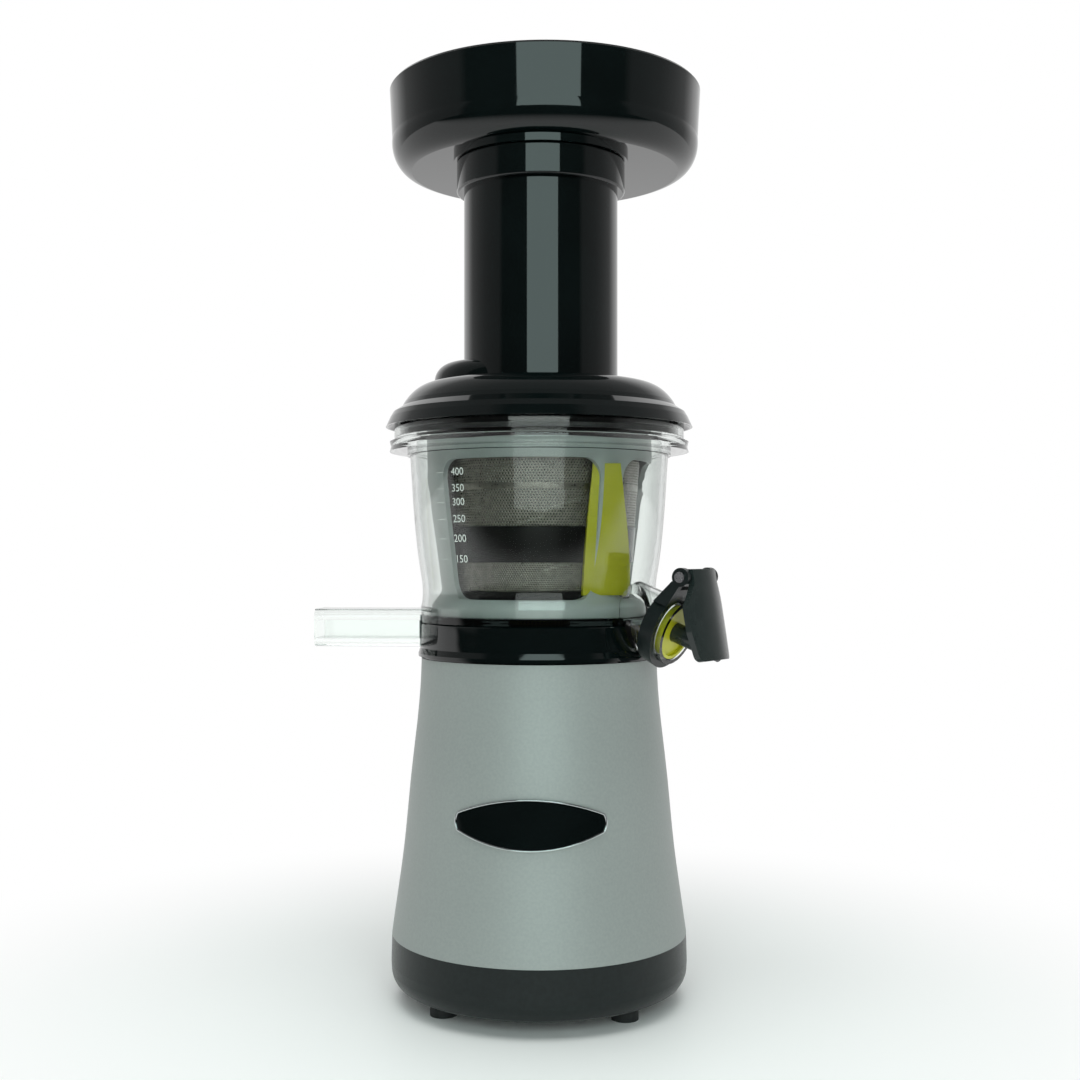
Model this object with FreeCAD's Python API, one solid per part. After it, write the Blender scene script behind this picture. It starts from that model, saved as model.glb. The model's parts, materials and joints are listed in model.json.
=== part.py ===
import FreeCAD, Part
import math
import os

os.makedirs("parts", exist_ok=True)

# Driving dimensions, in millimetres and degrees. Heights are above the floor.

# Fits
RUN = 0.05
SOFT_GAP = 0.3

# Feet, skirt and bottom plate
FOOT_HEIGHT = 6.4
FOOT_R = 5.5
FOOT_STEM_R = 2.6
FOOT_CIRCLE_R = 48.0
FOOT_AZIMUTH = 50.0
SKIRT_R = 62.6
SKIRT_WALL = 2.6
SKIRT_TOP = 27.8
SKIRT_LIP_RISE = 4.2
PLATE_T = 3.0
LEDGE_T = 5.0
LEDGE_R = 51.2
PLATE_R = 56.6
SKIRT_ROUND = [(58.2, 6.4), (60.2, 7.6), (61.6, 9.8), (62.4, 12.6)]
BOARD_POST_X = 24.0
BOARD_POST_HALF = 2.0
BOARD_POST_DEPTH = 5.5
BOARD_POST_TOP = 40.0
BOARD_HALF_WIDTH = 22.0
BOARD_T = 1.6
BOARD_SETBACK = 8.2
SCREW_R = 1.6
SCREW_HEAD_R = 3.0
SCREW_HEAD_T = 1.4
BOTTOM_SCREW_CIRCLE_R = 53.2

# Silver shell, as outer radii at heights
SHELL_TOP = 143.6
SHELL_WALL = 2.4
SHELL_OUTLINE = [(62.3, 27.8), (60.3, 42.0), (57.3, 63.7), (54.2, 95.2), (51.2, 121.7), (49.9, 143.6)]
SHELL_FLANGE_T = 2.6
SHELL_FLANGE_R = 38.0

# Dock ring
DECK_T = 2.8
DOCK_R = 50.3
DOCK_FLARE_R = 51.3
DOCK_WALL = 3.0
DOCK_TOP = 158.8
DECK_HOLE_R = 10.0
DECK_SCREW_CIRCLE_R = 41.5

# Badge on the front
BADGE_Z = 82.0
BADGE_HALF_WIDTH = 29.4
BADGE_HALF_HEIGHT = 10.2
BADGE_END_HALF = 3.6
BADGE_END_BULGE = 0.9
BADGE_RIM_WIDTH = 0.9
BADGE_RIM_T = 1.3
BADGE_PLATE_T = 0.8

# Rear switch and cord gland
SWITCH_Z = 80.0
BEZEL_HALF_X = 8.0
BEZEL_HALF_Z = 11.0
BEZEL_WALL = 2.0
BEZEL_FRONT_Y = 57.2
BEZEL_DEPTH = 9.2
ROCKER_PIVOT_Y = 53.0
ROCKER_HALF_Z = 8.2
ROCKER_CREST = 5.0
ROCKER_DIP = 3.6
ROCKER_BACK = 2.5
ROCKER_PIN_R = 1.2
GLAND_Z = 17.0
GLAND_BORE_R = 3.4
GLAND_BODY_R = 5.2
GLAND_FLANGE_R = 7.0
GLAND_TAIL = 4.4

# Motor
SHAFT_R = 4.0
SHAFT_TIP_R = 2.4
STATOR_R = 38.0
STATOR_BORE_R = 22.0
STATOR_LOW = 40.0
STATOR_HIGH = 75.0
AIR_GAP = 0.5
WINDING_R = 31.0
WINDING_INNER_R = 23.0
WINDING_HEIGHT = 9.0
BRACKET_WALL = 2.5
BRACKET_PLATE_T = 3.0
LOWER_BRACKET_LOW = 24.0
BEARING_R = 9.5
BEARING_T = 6.0
BEARING_HUB_R = 12.0
MOTOR_BOLT_CIRCLE_R = 33.2
FAN_LOW = 13.5
FAN_BLADE_T = 6.0
FAN_R = 30.0
FAN_HUB_R = 6.5
FAN_BLADES = 9

# Gearbox
COVER_LOW = 101.0
COVER_T = 3.0
HOUSING_GAP = 1.0
HOUSING_WALL = 2.0
HOUSING_ROOF_T = 3.0
HOUSING_ROOF_TOP = 139.0
COVER_SCREW_INSET = 4.4
COVER_POST_R = 3.2
COVER_POST_RISE = 10.0
GEAR_MODULE = 0.8
PINION_TEETH = 12
WHEEL_TEETH = 48
FIRST_STAGE_LOW = 107.0
FIRST_STAGE_T = 7.0
SECOND_STAGE_LOW = 118.0
SECOND_STAGE_T = 10.0
COUNTERSHAFT_R = 3.0
BUSH_R = 5.5
PRESSURE_ANGLE = math.radians(25.0)
BACKLASH = 0.2

# Output shaft
OUTPUT_R = 6.2
OUTPUT_LOW = 116.5
HEX_LOW = 160.0
HEX_HIGH = 176.0
HEX_FLATS = 10.0
OUTPUT_BEARING_R = 9.5
OUTPUT_HUB_R = 12.0
OUTPUT_HUB_DROP = 9.5

# Bowl
BOWL_WALL = 2.5
BOWL_OUTLINE = [(50.2, 165.0), (49.5, 172.0), (50.9, 183.0), (52.2, 193.3), (53.5, 208.6), (54.8, 229.0)]
BOWL_FOOT_R = 50.2
BOWL_FLOOR_TOP = 161.0
BOWL_FLOOR_T = 2.7
PLUG_R = 46.8
PLUG_WALL = 2.3
PLUG_LOW = 149.4
BOWL_BEAD_R = 56.0
BOWL_BEAD_Z = 228.6
BOWL_FLANGE_R = 63.4
BOWL_FLANGE_LOW = 230.4
BOWL_FLANGE_HIGH = 234.5
BOWL_LEDGE_Z = 236.5
RIM_R = 61.4
RIM_WALL = 2.2
RIM_TOP = 243.2
LUG_COUNT = 8
LUG_PHASE = 26.5
LUG_TURN = 20.0
LUG_HALF_ANGLE = 1.6
LUG_LOW = 239.5
LUG_HIGH = 242.0
LUG_REACH = 1.6
GROOVE_DEPTH = 1.4
BOWL_HOLE_R = 9.0

# Pulp channel and spout, pointing along -X
PULP_REACH = 94.5
PULP_HALF_WIDTH = 12.0
PULP_LOW = 148.2
PULP_HIGH = 164.1
PULP_BORE_HALF = 9.0
PULP_BORE_LOW = 151.8
PULP_BORE_HIGH = 159.3
PULP_ROUND = 3.5
PULP_INNER_REACH = 17.0
PULP_END_WALL = 3.0
COLLAR_HALF_ANGLE = 28.0
COLLAR_IN_R = 17.0
COLLAR_OUT_R = 35.0
COLLAR_WALL = 2.0
COLLAR_TOP = 168.0
DOCK_GAP = 0.7
CLEANING_PLUG_FAR = 40.0
CLEANING_PLUG_NEAR = 25.0

# Juice spout and tap
TAP_AZIMUTH = 59.0
SPOUT_TILT = 20.0
MOUTH_REACH = 68.0
MOUTH_Z = 155.5
SPOUT_R = 13.2
SPOUT_BORE_R = 11.4
SPOUT_LENGTH = 25.0
SPOUT_BACK_R = 52.2
SPOUT_BACK_WALL = 1.8
TAP_COLLAR_BACK = 9.5
TAP_COLLAR_FRONT = 2.8
TAP_COLLAR_BACK_R = 14.9
TAP_COLLAR_FRONT_R = 15.8
HINGE_REACH = 75.5
HINGE_Z = 178.2
HINGE_PIN_R = 1.25
EAR_R = 3.7
EAR_INNER = 9.4
EAR_T = 2.8
BARREL_R = 3.2
FLAP_T = 2.2
FLAP_BEND_R = 32.0
FLAP_TOP_X = 78.6
FLAP_LEAN = 9.7
FLAP_TOP_HALF = 9.2
FLAP_MID_HALF = 14.0
FLAP_BOTTOM_HALF = 12.0
FLAP_MID_DROP = 14.0
FLAP_BOTTOM_DROP = 36.0
BOSS_R = 4.0
PLUG_FACE_R = 11.05
PLUG_BACK_R = 10.5
PLUG_FACE = 0.4
PLUG_DEPTH = 3.6
PLUG_DISH = 1.2

# Planetary stage under the strainer
STAGE_MODULE = 1.25
SUN_TEETH = 16
IDLER_TEETH = 24
STAGE_LOW = 161.7
STAGE_HIGH = 166.3
IDLER_PIN_R = 3.0
IDLER_PIN_LOW = 155.5
IDLER_BOSS_R = 6.0
IDLER_BOSS_LOW = 154.4
IDLER_AZIMUTH = 90.0

# Brush frame
BRUSH_OUTLINE = [(41.4, 173.0), (43.5, 190.0), (45.6, 205.6), (47.7, 227.4)]
BRUSH_WALL = 2.0
BRUSH_FOOT_R = 45.6
BRUSH_LOW = 161.3
BRUSH_FOOT_TOP = 165.5
BRUSH_TOP = 235.5
WINDOW_LOW = 168.8
WINDOW_HIGH = 225.7
WINDOW_ROUND = 8.0
POSTS = [(42.0, 14.0), (112.0, 8.0), (222.0, 14.0), (292.0, 34.0)]

# Wipers: azimuth of the blade's middle at heights
WIPER_TWIST = [(170.6, 29.0, 54.8), (186.0, 29.5, 52.4), (204.0, 30.8, 47.6), (223.5, 32.5, 43.2)]
WIPER_T = 1.8

# Strainer
STRAINER_LOW = 168.0
STRAINER_TOP = 237.6
STRAINER_LOW_R = 38.4
STRAINER_SLOPE = 0.0802
STRAINER_REF_Z = 172.0
LOWER_SCREEN = (172.1, 184.1)
UPPER_SCREEN = (198.4, 226.6)
SCREEN_T = 0.6
BAND_PROUD = 0.5
STRAINER_WALL = 1.8
STRAINER_FLOOR_T = 2.0
STRAINER_HOLE_R = 12.3
LOWER_RIBS = 13
UPPER_RIBS = 6
RIB_T = 1.0
RIB_WIDTH = 1.6

# Auger
AUGER_LOW = 161.6
AUGER_STEM_R = 8.5
AUGER_BODY_LOW = 170.6
AUGER_BODY_TOP = 227.0
AUGER_CORE_LOW_R = 19.0
AUGER_CORE_HIGH_R = 25.0
AUGER_GAP = 1.6
AUGER_PITCH = 50.0
AUGER_FLIGHT_T = 3.0
AUGER_PIN_R = 5.0
AUGER_PIN_TOP = 247.0

# Lid, chute and tray
LID_TIP_R = 65.0
LID_TIP_Z = 240.8
LID_OUTLINE = [(63.2, 244.8), (61.9, 247.0), (58.2, 249.4)]
LID_DOME = [(57.2, 251.2), (54.5, 254.6), (51.0, 257.4), (46.9, 259.0)]
LID_TOP = 259.0
LID_WALL = 2.6
LID_SKIRT_R = 58.6
LID_SKIRT_WALL = 2.4
LID_SKIRT_LOW = 238.5
LID_RIM_GAP = 0.6
HUMP_R = 29.5
HUMP_SHIFT = 17.0
HUMP_BACK = 13.0
HUMP_RISE = 11.0
HUMP_ROUND = 8.0
CHUTE_BACK = 10.0
CHUTE_R = 33.2
CHUTE_WALL = 2.8
CHUTE_FLANGE_R = 34.6
CHUTE_RING_R = 36.3
CHUTE_RING_LOW = 342.8
CHUTE_TOP = 356.0
LID_HUB_R = 10.0
LID_HUB_LOW = 241.0
LID_HUB_HIGH = 251.0
BRIDGE_WIDTH = 10.0
AUGER_BUSH_R = 7.5
TRAY_BACK = 27.5
TRAY_R = 69.8
TRAY_FLOOR_R = 60.0
TRAY_FLOOR_Z = 358.9
TRAY_WALL_Z = 373.0
TRAY_TOP = 395.3
TRAY_WALL = 2.6
TRAY_LIP_R = 37.7
SPIGOT_WALL = 2.0
SPIGOT_LOW = 342.0

# The row's origin is under the middle of the whole outline.
TAP_SIDE_REACH = 78.4
AXIS_X = (PULP_REACH - TAP_SIDE_REACH) / 2
AXIS_Y = -(CHUTE_BACK + TRAY_BACK + TRAY_R - LID_TIP_R) / 2


def point(x, y, z):
    return FreeCAD.Vector(x, y, z)


UP = point(0, 0, 1)
AXIS = point(0, 0, 0)


def cylinder(radius, low, high, x=0.0, y=0.0):
    return Part.makeCylinder(radius, high - low, point(x, y, low), UP)


def tube(outer, inner, low, high, x=0.0, y=0.0):
    return cylinder(outer, low, high, x, y).cut(cylinder(inner, low - 1, high + 1, x, y))


def block(low_x, high_x, low_y, high_y, low_z, high_z):
    size = (high_x - low_x, high_y - low_y, high_z - low_z)
    return Part.makeBox(*size, point(low_x, low_y, low_z))


def spun(shape, angle):
    turned_shape = shape.copy()
    turned_shape.rotate(AXIS, UP, angle)
    return turned_shape


def moved(shape, x=0.0, y=0.0, z=0.0):
    shifted = shape.copy()
    shifted.translate(point(x, y, z))
    return shifted


def at_azimuth(shape, azimuth):
    # A shape built along +X is turned to an azimuth, measured from the front (-Y) toward +X.
    return spun(shape, azimuth - 90.0)


def joined(shapes):
    whole = shapes[0].fuse(shapes[1:]) if len(shapes) > 1 else shapes[0]
    merged = whole.removeSplitter()
    return whole if merged.isNull() else merged


def turned(*items):
    # Revolves a closed outline of (radius, height). A list in it is a smooth curve through its points.
    edges = []
    first = items[0] if isinstance(items[0], tuple) else items[0][0]
    last = first
    for item in items[1:] if isinstance(items[0], tuple) else items:
        stops = [item] if isinstance(item, tuple) else item
        if isinstance(item, tuple):
            edges.append(Part.makeLine(point(last[0], 0, last[1]), point(item[0], 0, item[1])))
        else:
            if math.dist(last, stops[0]) > 0.001:
                edges.append(Part.makeLine(point(last[0], 0, last[1]), point(stops[0][0], 0, stops[0][1])))
            curve = Part.BSplineCurve()
            curve.interpolate([point(r, 0, z) for r, z in stops])
            edges.append(curve.toShape())
        last = stops[-1]
    edges.append(Part.makeLine(point(last[0], 0, last[1]), point(first[0], 0, first[1])))
    return Part.Face(Part.Wire(edges)).revolve(AXIS, UP, 360)


def inset(outline, wall):
    return [(r - wall, z) for r, z in outline]


def radius_at(outline, z):
    for (r0, z0), (r1, z1) in zip(outline, outline[1:]):
        if z <= z1:
            return r0 + (r1 - r0) * (z - z0) / (z1 - z0)
    return outline[-1][0]


def strainer_radius(z):
    return STRAINER_LOW_R + STRAINER_SLOPE * (z - STRAINER_REF_Z)


def cone_shell(low, high, proud, wall):
    outer_low = strainer_radius(low) + proud
    outer_high = strainer_radius(high) + proud
    return turned((outer_low, low), (outer_high, high), (outer_high - wall, high), (outer_low - wall, low))


def gear_prism(teeth, module, low, high, addendum, dedendum, thinning, phase=0.0):
    pitch_r = module * teeth / 2
    base_r = pitch_r * math.cos(PRESSURE_ANGLE)
    tip_r = pitch_r + addendum * module
    root_r = pitch_r - dedendum * module
    half_tooth = math.pi / (2 * teeth) - thinning / (2 * pitch_r)
    involute = math.tan(PRESSURE_ANGLE) - PRESSURE_ANGLE

    def flank_angle(radius):
        pressure = math.acos(min(1.0, base_r / max(radius, base_r)))
        return half_tooth + involute - (math.tan(pressure) - pressure)

    start_r = max(base_r, root_r)
    steps = [start_r + (tip_r - start_r) * k / 3 for k in range(4)]
    radii = [root_r] + [r for r in steps if r > root_r + 0.01]
    corners = []
    for tooth in range(teeth):
        centre = 2 * math.pi * tooth / teeth + math.radians(phase)
        for radius in radii:
            angle = centre - flank_angle(radius)
            corners.append(point(radius * math.cos(angle), radius * math.sin(angle), low))
        for radius in reversed(radii):
            angle = centre + flank_angle(radius)
            corners.append(point(radius * math.cos(angle), radius * math.sin(angle), low))
    corners.append(corners[0])
    return Part.Face(Part.makePolygon(corners)).extrude(point(0, 0, high - low))


def spur_gear(teeth, module, low, high, bore, phase=0.0):
    blank = gear_prism(teeth, module, low, high, 0.9, 1.15, BACKLASH / 2, phase)
    return blank.cut(cylinder(bore, low - 1, high + 1))


def circle_places(count, radius, start=0.0):
    angles = [math.radians(start + 360.0 * k / count) for k in range(count)]
    return [(radius * math.cos(a), radius * math.sin(a)) for a in angles]


def group(shapes):
    return Part.makeCompound(shapes)


def cut_all(shape, tools):
    for tool in tools:
        shape = shape.cut(tool)
    return shape


def screw(x, y, head_low, head_high, shank_low, shank_high, shank_r=SCREW_R, head_r=SCREW_HEAD_R):
    return joined([cylinder(head_r, head_low, head_high, x, y), cylinder(shank_r, shank_low, shank_high, x, y)])


SKIRT_INNER_R = SKIRT_R - SKIRT_WALL
PLATE_LOW = FOOT_HEIGHT
PLATE_TOP = PLATE_LOW + PLATE_T
LEDGE_TOP = PLATE_TOP + LEDGE_T
FEET = [(FOOT_CIRCLE_R * math.sin(math.radians(a)), -FOOT_CIRCLE_R * math.cos(math.radians(a)))
        for a in (-FOOT_AZIMUTH, FOOT_AZIMUTH, 180 - FOOT_AZIMUTH, 180 + FOOT_AZIMUTH)]
BOTTOM_SCREWS = circle_places(4, BOTTOM_SCREW_CIRCLE_R, 20.0)
DECK_LOW = SHELL_TOP
DECK_TOP = SHELL_TOP + DECK_T
DECK_SCREWS = circle_places(4, DECK_SCREW_CIRCLE_R, 45.0)
CENTRE_DISTANCE = GEAR_MODULE * (PINION_TEETH + WHEEL_TEETH) / 2
LOWER_BRACKET_PLATE_TOP = LOWER_BRACKET_LOW + BRACKET_PLATE_T
UPPER_BRACKET_PLATE_LOW = COVER_LOW - BRACKET_PLATE_T
COVER_TOP = COVER_LOW + COVER_T
MOTOR_BOLTS = circle_places(4, MOTOR_BOLT_CIRCLE_R, 45.0)
HOUSING_R = radius_at(SHELL_OUTLINE, HOUSING_ROOF_TOP) - SHELL_WALL - HOUSING_GAP
COVER_SCREWS = circle_places(4, HOUSING_R - COVER_SCREW_INSET, 0.0)
CHUTE_Y = CHUTE_BACK
TRAY_Y = CHUTE_BACK + TRAY_BACK


def feet():
    return [joined([cylinder(FOOT_R, 0, FOOT_HEIGHT, x, y), cylinder(FOOT_STEM_R, 0, PLATE_TOP + 1.2, x, y)])
            for x, y in FEET]


def board_post(side, grow, low, high):
    middle = side * BOARD_POST_X
    half = BOARD_POST_HALF + grow
    near = STATOR_R + 6.0 - grow
    far = STATOR_R + 6.0 + BOARD_POST_DEPTH + grow
    return block(middle - half, middle + half, near, far, low, high)


def bottom_plate():
    plate = cylinder(PLATE_R - RUN, PLATE_LOW, PLATE_TOP)
    holes = [cylinder(FOOT_STEM_R, PLATE_LOW - 1, PLATE_TOP + 1, x, y) for x, y in FEET]
    holes += [cylinder(SCREW_R + RUN, PLATE_LOW - 1, PLATE_TOP + 1, x, y) for x, y in BOTTOM_SCREWS]
    holes += [cylinder(SCREW_HEAD_R + RUN, PLATE_LOW - 1, PLATE_LOW + SCREW_HEAD_T, x, y) for x, y in BOTTOM_SCREWS]
    slot = block(12, 30, -1.5, 1.5, PLATE_LOW - 1, PLATE_TOP + 1)
    holes += [spun(slot, 30.0 * k) for k in range(12)]
    posts = [board_post(side, 0.0, PLATE_TOP, BOARD_POST_TOP) for side in (-1, 1)]
    return joined([cut_all(plate, holes)] + posts)


def bottom_screws():
    low = PLATE_LOW
    return group([screw(x, y, low, low + SCREW_HEAD_T, low, LEDGE_TOP - 1) for x, y in BOTTOM_SCREWS])


def base_skirt():
    lip_r = radius_at(SHELL_OUTLINE, SKIRT_TOP + SKIRT_LIP_RISE) - SHELL_WALL - RUN * 3
    outer = turned(SKIRT_ROUND[0], SKIRT_ROUND[1:], (SKIRT_R, PLATE_LOW + 10), (SKIRT_R - 0.3, SKIRT_TOP),
                   (lip_r, SKIRT_TOP), (lip_r, SKIRT_TOP + SKIRT_LIP_RISE), (lip_r - 2, SKIRT_TOP + SKIRT_LIP_RISE),
                   (lip_r - 2, SKIRT_TOP - 4), (SKIRT_INNER_R, SKIRT_TOP - 7), (SKIRT_INNER_R, LEDGE_TOP),
                   (LEDGE_R, LEDGE_TOP), (LEDGE_R, PLATE_TOP), (PLATE_R, PLATE_TOP), (PLATE_R, PLATE_LOW))
    holes = [cylinder(SCREW_R, PLATE_TOP - 1, LEDGE_TOP + 1, x, y) for x, y in BOTTOM_SCREWS]
    holes += [board_post(side, SOFT_GAP, PLATE_TOP - 1, LEDGE_TOP + 1) for side in (-1, 1)]
    board_half = BOARD_HALF_WIDTH + SOFT_GAP
    holes.append(block(-board_half, board_half, STATOR_R, STATOR_R + BOARD_SETBACK + BOARD_T + SOFT_GAP,
                       PLATE_TOP - 1, LEDGE_TOP + 1))
    holes.append(Part.makeCylinder(GLAND_BODY_R, 30, point(0, LEDGE_R - 10, GLAND_Z), point(0, 1, 0)))
    return cut_all(outer, holes)


def cord_gland():
    along = point(0, 1, 0)
    inner = SKIRT_INNER_R - 5.0
    wall_outside = SKIRT_R
    body = Part.makeCylinder(GLAND_BODY_R, wall_outside - inner, point(0, inner, GLAND_Z), along)
    flange = Part.makeCylinder(GLAND_FLANGE_R, 2.2, point(0, wall_outside, GLAND_Z), along)
    tail = Part.makeCone(GLAND_BODY_R, GLAND_BORE_R + 1.0, GLAND_TAIL, point(0, wall_outside + 2.2, GLAND_Z), along)
    whole = joined([body, flange, tail])
    bore = Part.makeCylinder(GLAND_BORE_R, 40, point(0, inner - 5, GLAND_Z), along)
    return whole.cut(bore)


def badge_outline(half_width, half_height, end_half):
    low = [point(-half_width, 0, -end_half), point(0, 0, -half_height), point(half_width, 0, -end_half)]
    high = [point(half_width, 0, end_half), point(0, 0, half_height), point(-half_width, 0, end_half)]
    far = half_width + BADGE_END_BULGE
    edges = [Part.Arc(*low).toShape(), Part.Arc(low[2], point(far, 0, 0), high[0]).toShape(),
             Part.Arc(*high).toShape(), Part.Arc(high[2], point(-far, 0, 0), low[0]).toShape()]
    face = Part.Face(Part.Wire(edges))
    return moved(face.extrude(point(0, -70, 0)), 0, 0, BADGE_Z)


def badge_band(thickness):
    outer = [(r + thickness, z) for r, z in SHELL_OUTLINE]
    band = turned(SHELL_OUTLINE, (outer[-1][0], outer[-1][1]), list(reversed(outer)))
    return band


def badge_pieces():
    outside = badge_outline(BADGE_HALF_WIDTH, BADGE_HALF_HEIGHT, BADGE_END_HALF)
    inside = badge_outline(BADGE_HALF_WIDTH - BADGE_RIM_WIDTH, BADGE_HALF_HEIGHT - BADGE_RIM_WIDTH,
                           BADGE_END_HALF - BADGE_RIM_WIDTH / 2)
    rim = badge_band(BADGE_RIM_T).common(outside.cut(inside))
    plate = badge_band(BADGE_PLATE_T).common(inside)
    return plate, rim


def bezel_block(grow=0.0):
    low_y = BEZEL_FRONT_Y - BEZEL_DEPTH
    return block(-BEZEL_HALF_X - grow, BEZEL_HALF_X + grow, low_y, BEZEL_FRONT_Y,
                 SWITCH_Z - BEZEL_HALF_Z - grow, SWITCH_Z + BEZEL_HALF_Z + grow)


def base_shell():
    inner_top = SHELL_TOP - SHELL_FLANGE_T
    inner = [(r - SHELL_WALL, z) for r, z in SHELL_OUTLINE[:-1]]
    inner.append((SHELL_OUTLINE[-1][0] - SHELL_WALL, inner_top))
    shell = turned(SHELL_OUTLINE, (SHELL_FLANGE_R, SHELL_TOP), (SHELL_FLANGE_R, inner_top),
                   list(reversed(inner)))
    holes = [cylinder(SCREW_R + RUN, inner_top - 1, SHELL_TOP + 1, x, y) for x, y in DECK_SCREWS]
    return cut_all(shell, holes + [bezel_block()])


def dock_ring():
    wall_in = DOCK_R - DOCK_WALL
    ring = turned((SHELL_OUTLINE[-1][0] - 0.6, DECK_LOW), (SHELL_OUTLINE[-1][0] - 0.6, DECK_LOW + 0.9),
                  (DOCK_FLARE_R, DECK_LOW + 0.9), (DOCK_FLARE_R, DECK_LOW + 2.2), (DOCK_R + 0.2, DECK_LOW + 4.5),
                  (DOCK_R, DOCK_TOP - 0.8), (DOCK_R - 0.8, DOCK_TOP), (wall_in, DOCK_TOP),
                  (wall_in, DECK_TOP), (DECK_HOLE_R, DECK_TOP), (DECK_HOLE_R, DECK_LOW))
    gate = block(-DOCK_R - 5, -wall_in + 5, -PULP_HALF_WIDTH - DOCK_GAP, PULP_HALF_WIDTH + DOCK_GAP,
                 PULP_LOW - DOCK_GAP, DOCK_TOP + 1)
    holes = [cylinder(SCREW_R + RUN, DECK_LOW - 1, DECK_TOP + 1, x, y) for x, y in DECK_SCREWS]
    return cut_all(ring, holes + [gate])


def deck_screws():
    low = SHELL_TOP - SHELL_FLANGE_T - HOUSING_ROOF_T - 0.5
    return group([screw(x, y, DECK_TOP, DECK_TOP + SCREW_HEAD_T, low, DECK_TOP + SCREW_HEAD_T)
                  for x, y in DECK_SCREWS])


def switch_bezel():
    shell = bezel_block()
    hollow = block(-BEZEL_HALF_X + BEZEL_WALL, BEZEL_HALF_X - BEZEL_WALL, BEZEL_FRONT_Y - BEZEL_DEPTH - 1,
                   BEZEL_FRONT_Y + 1, SWITCH_Z - BEZEL_HALF_Z + BEZEL_WALL, SWITCH_Z + BEZEL_HALF_Z - BEZEL_WALL)
    holes = Part.makeCylinder(ROCKER_PIN_R + RUN, 2 * BEZEL_HALF_X - 1,
                              point(-BEZEL_HALF_X + 0.5, ROCKER_PIVOT_Y, SWITCH_Z), point(1, 0, 0))
    return shell.cut(hollow).cut(holes)


def switch_rocker():
    half_x = BEZEL_HALF_X - BEZEL_WALL - 0.2
    outline = [(-ROCKER_BACK, -ROCKER_HALF_Z + 2), (ROCKER_CREST, -ROCKER_HALF_Z), (ROCKER_DIP, 0),
               (ROCKER_CREST, ROCKER_HALF_Z), (-ROCKER_BACK, ROCKER_HALF_Z - 2)]
    corners = [point(-half_x, ROCKER_PIVOT_Y + y, SWITCH_Z + z) for y, z in outline]
    corners.append(corners[0])
    body = Part.Face(Part.makePolygon(corners)).extrude(point(2 * half_x, 0, 0))
    pin_half = BEZEL_HALF_X - 0.8
    pin = Part.makeCylinder(ROCKER_PIN_R, 2 * pin_half, point(-pin_half, ROCKER_PIVOT_Y, SWITCH_Z), point(1, 0, 0))
    return joined([body, pin])


def circuit_board():
    low_y = STATOR_R + BOARD_SETBACK
    board = block(-BOARD_HALF_WIDTH, BOARD_HALF_WIDTH, low_y, low_y + BOARD_T, PLATE_TOP, 52)
    relay = block(-16, -4, low_y - 4, low_y, 20, 32)
    return joined([board, relay])


def capacitor():
    return cylinder(4.1, 16, 36, 8, STATOR_R + 4.1)


def motor_stator():
    core = tube(STATOR_R, STATOR_BORE_R, STATOR_LOW, STATOR_HIGH)
    return cut_all(core, [cylinder(SCREW_R + RUN, STATOR_LOW - 1, STATOR_HIGH + 1, x, y) for x, y in MOTOR_BOLTS])


def motor_windings():
    low = tube(WINDING_R, WINDING_INNER_R, STATOR_LOW - WINDING_HEIGHT, STATOR_LOW)
    high = tube(WINDING_R, WINDING_INNER_R, STATOR_HIGH, STATOR_HIGH + WINDING_HEIGHT)
    return group([low, high])


def bracket(plate_low, wall_low, wall_high, hub_low, hub_high, bearing_low):
    plate = cylinder(STATOR_R, plate_low, plate_low + BRACKET_PLATE_T)
    wall = tube(STATOR_R, STATOR_R - BRACKET_WALL, wall_low, wall_high)
    hub = cylinder(BEARING_HUB_R, hub_low, hub_high)
    whole = joined([plate, wall, hub])
    holes = [cylinder(BEARING_R, bearing_low, bearing_low + BEARING_T),
             cylinder(SHAFT_R + 1.5, hub_low - 1, hub_high + 1)]
    holes += [cylinder(SCREW_R + RUN, plate_low - 1, plate_low + BRACKET_PLATE_T + 1, x, y) for x, y in MOTOR_BOLTS]
    vent = block(STATOR_R - 6, STATOR_R + 2, -9, 9, wall_low + 2.5, wall_high - 3)
    holes += [spun(vent, 90.0 * k) for k in range(4)]
    return cut_all(whole, holes)


def lower_bracket():
    return bracket(LOWER_BRACKET_LOW, LOWER_BRACKET_LOW, STATOR_LOW, LOWER_BRACKET_LOW - 1,
                   LOWER_BRACKET_LOW + BEARING_T + 1, LOWER_BRACKET_LOW + 1.5)


def upper_bracket():
    return bracket(UPPER_BRACKET_PLATE_LOW, STATOR_HIGH, COVER_LOW, COVER_LOW - BEARING_T - 3, COVER_LOW,
                   COVER_LOW - BEARING_T - 1.5)


def motor_bearing(low):
    return tube(BEARING_R, SHAFT_R, low, low + BEARING_T)


def motor_bolts():
    low = LOWER_BRACKET_LOW - SCREW_HEAD_T
    return group([screw(x, y, low, LOWER_BRACKET_LOW, low, COVER_TOP - 0.5) for x, y in MOTOR_BOLTS])


def rotor_core():
    return tube(STATOR_BORE_R - AIR_GAP, SHAFT_R, STATOR_LOW, STATOR_HIGH)


def rotor_shaft():
    tip_low = COVER_TOP + 1.0
    tip_high = FIRST_STAGE_LOW + FIRST_STAGE_T + 1.0
    return turned((0, FAN_LOW), (SHAFT_R, FAN_LOW), (SHAFT_R, tip_low), (SHAFT_TIP_R, tip_low),
                  (SHAFT_TIP_R, tip_high), (0, tip_high))


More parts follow.
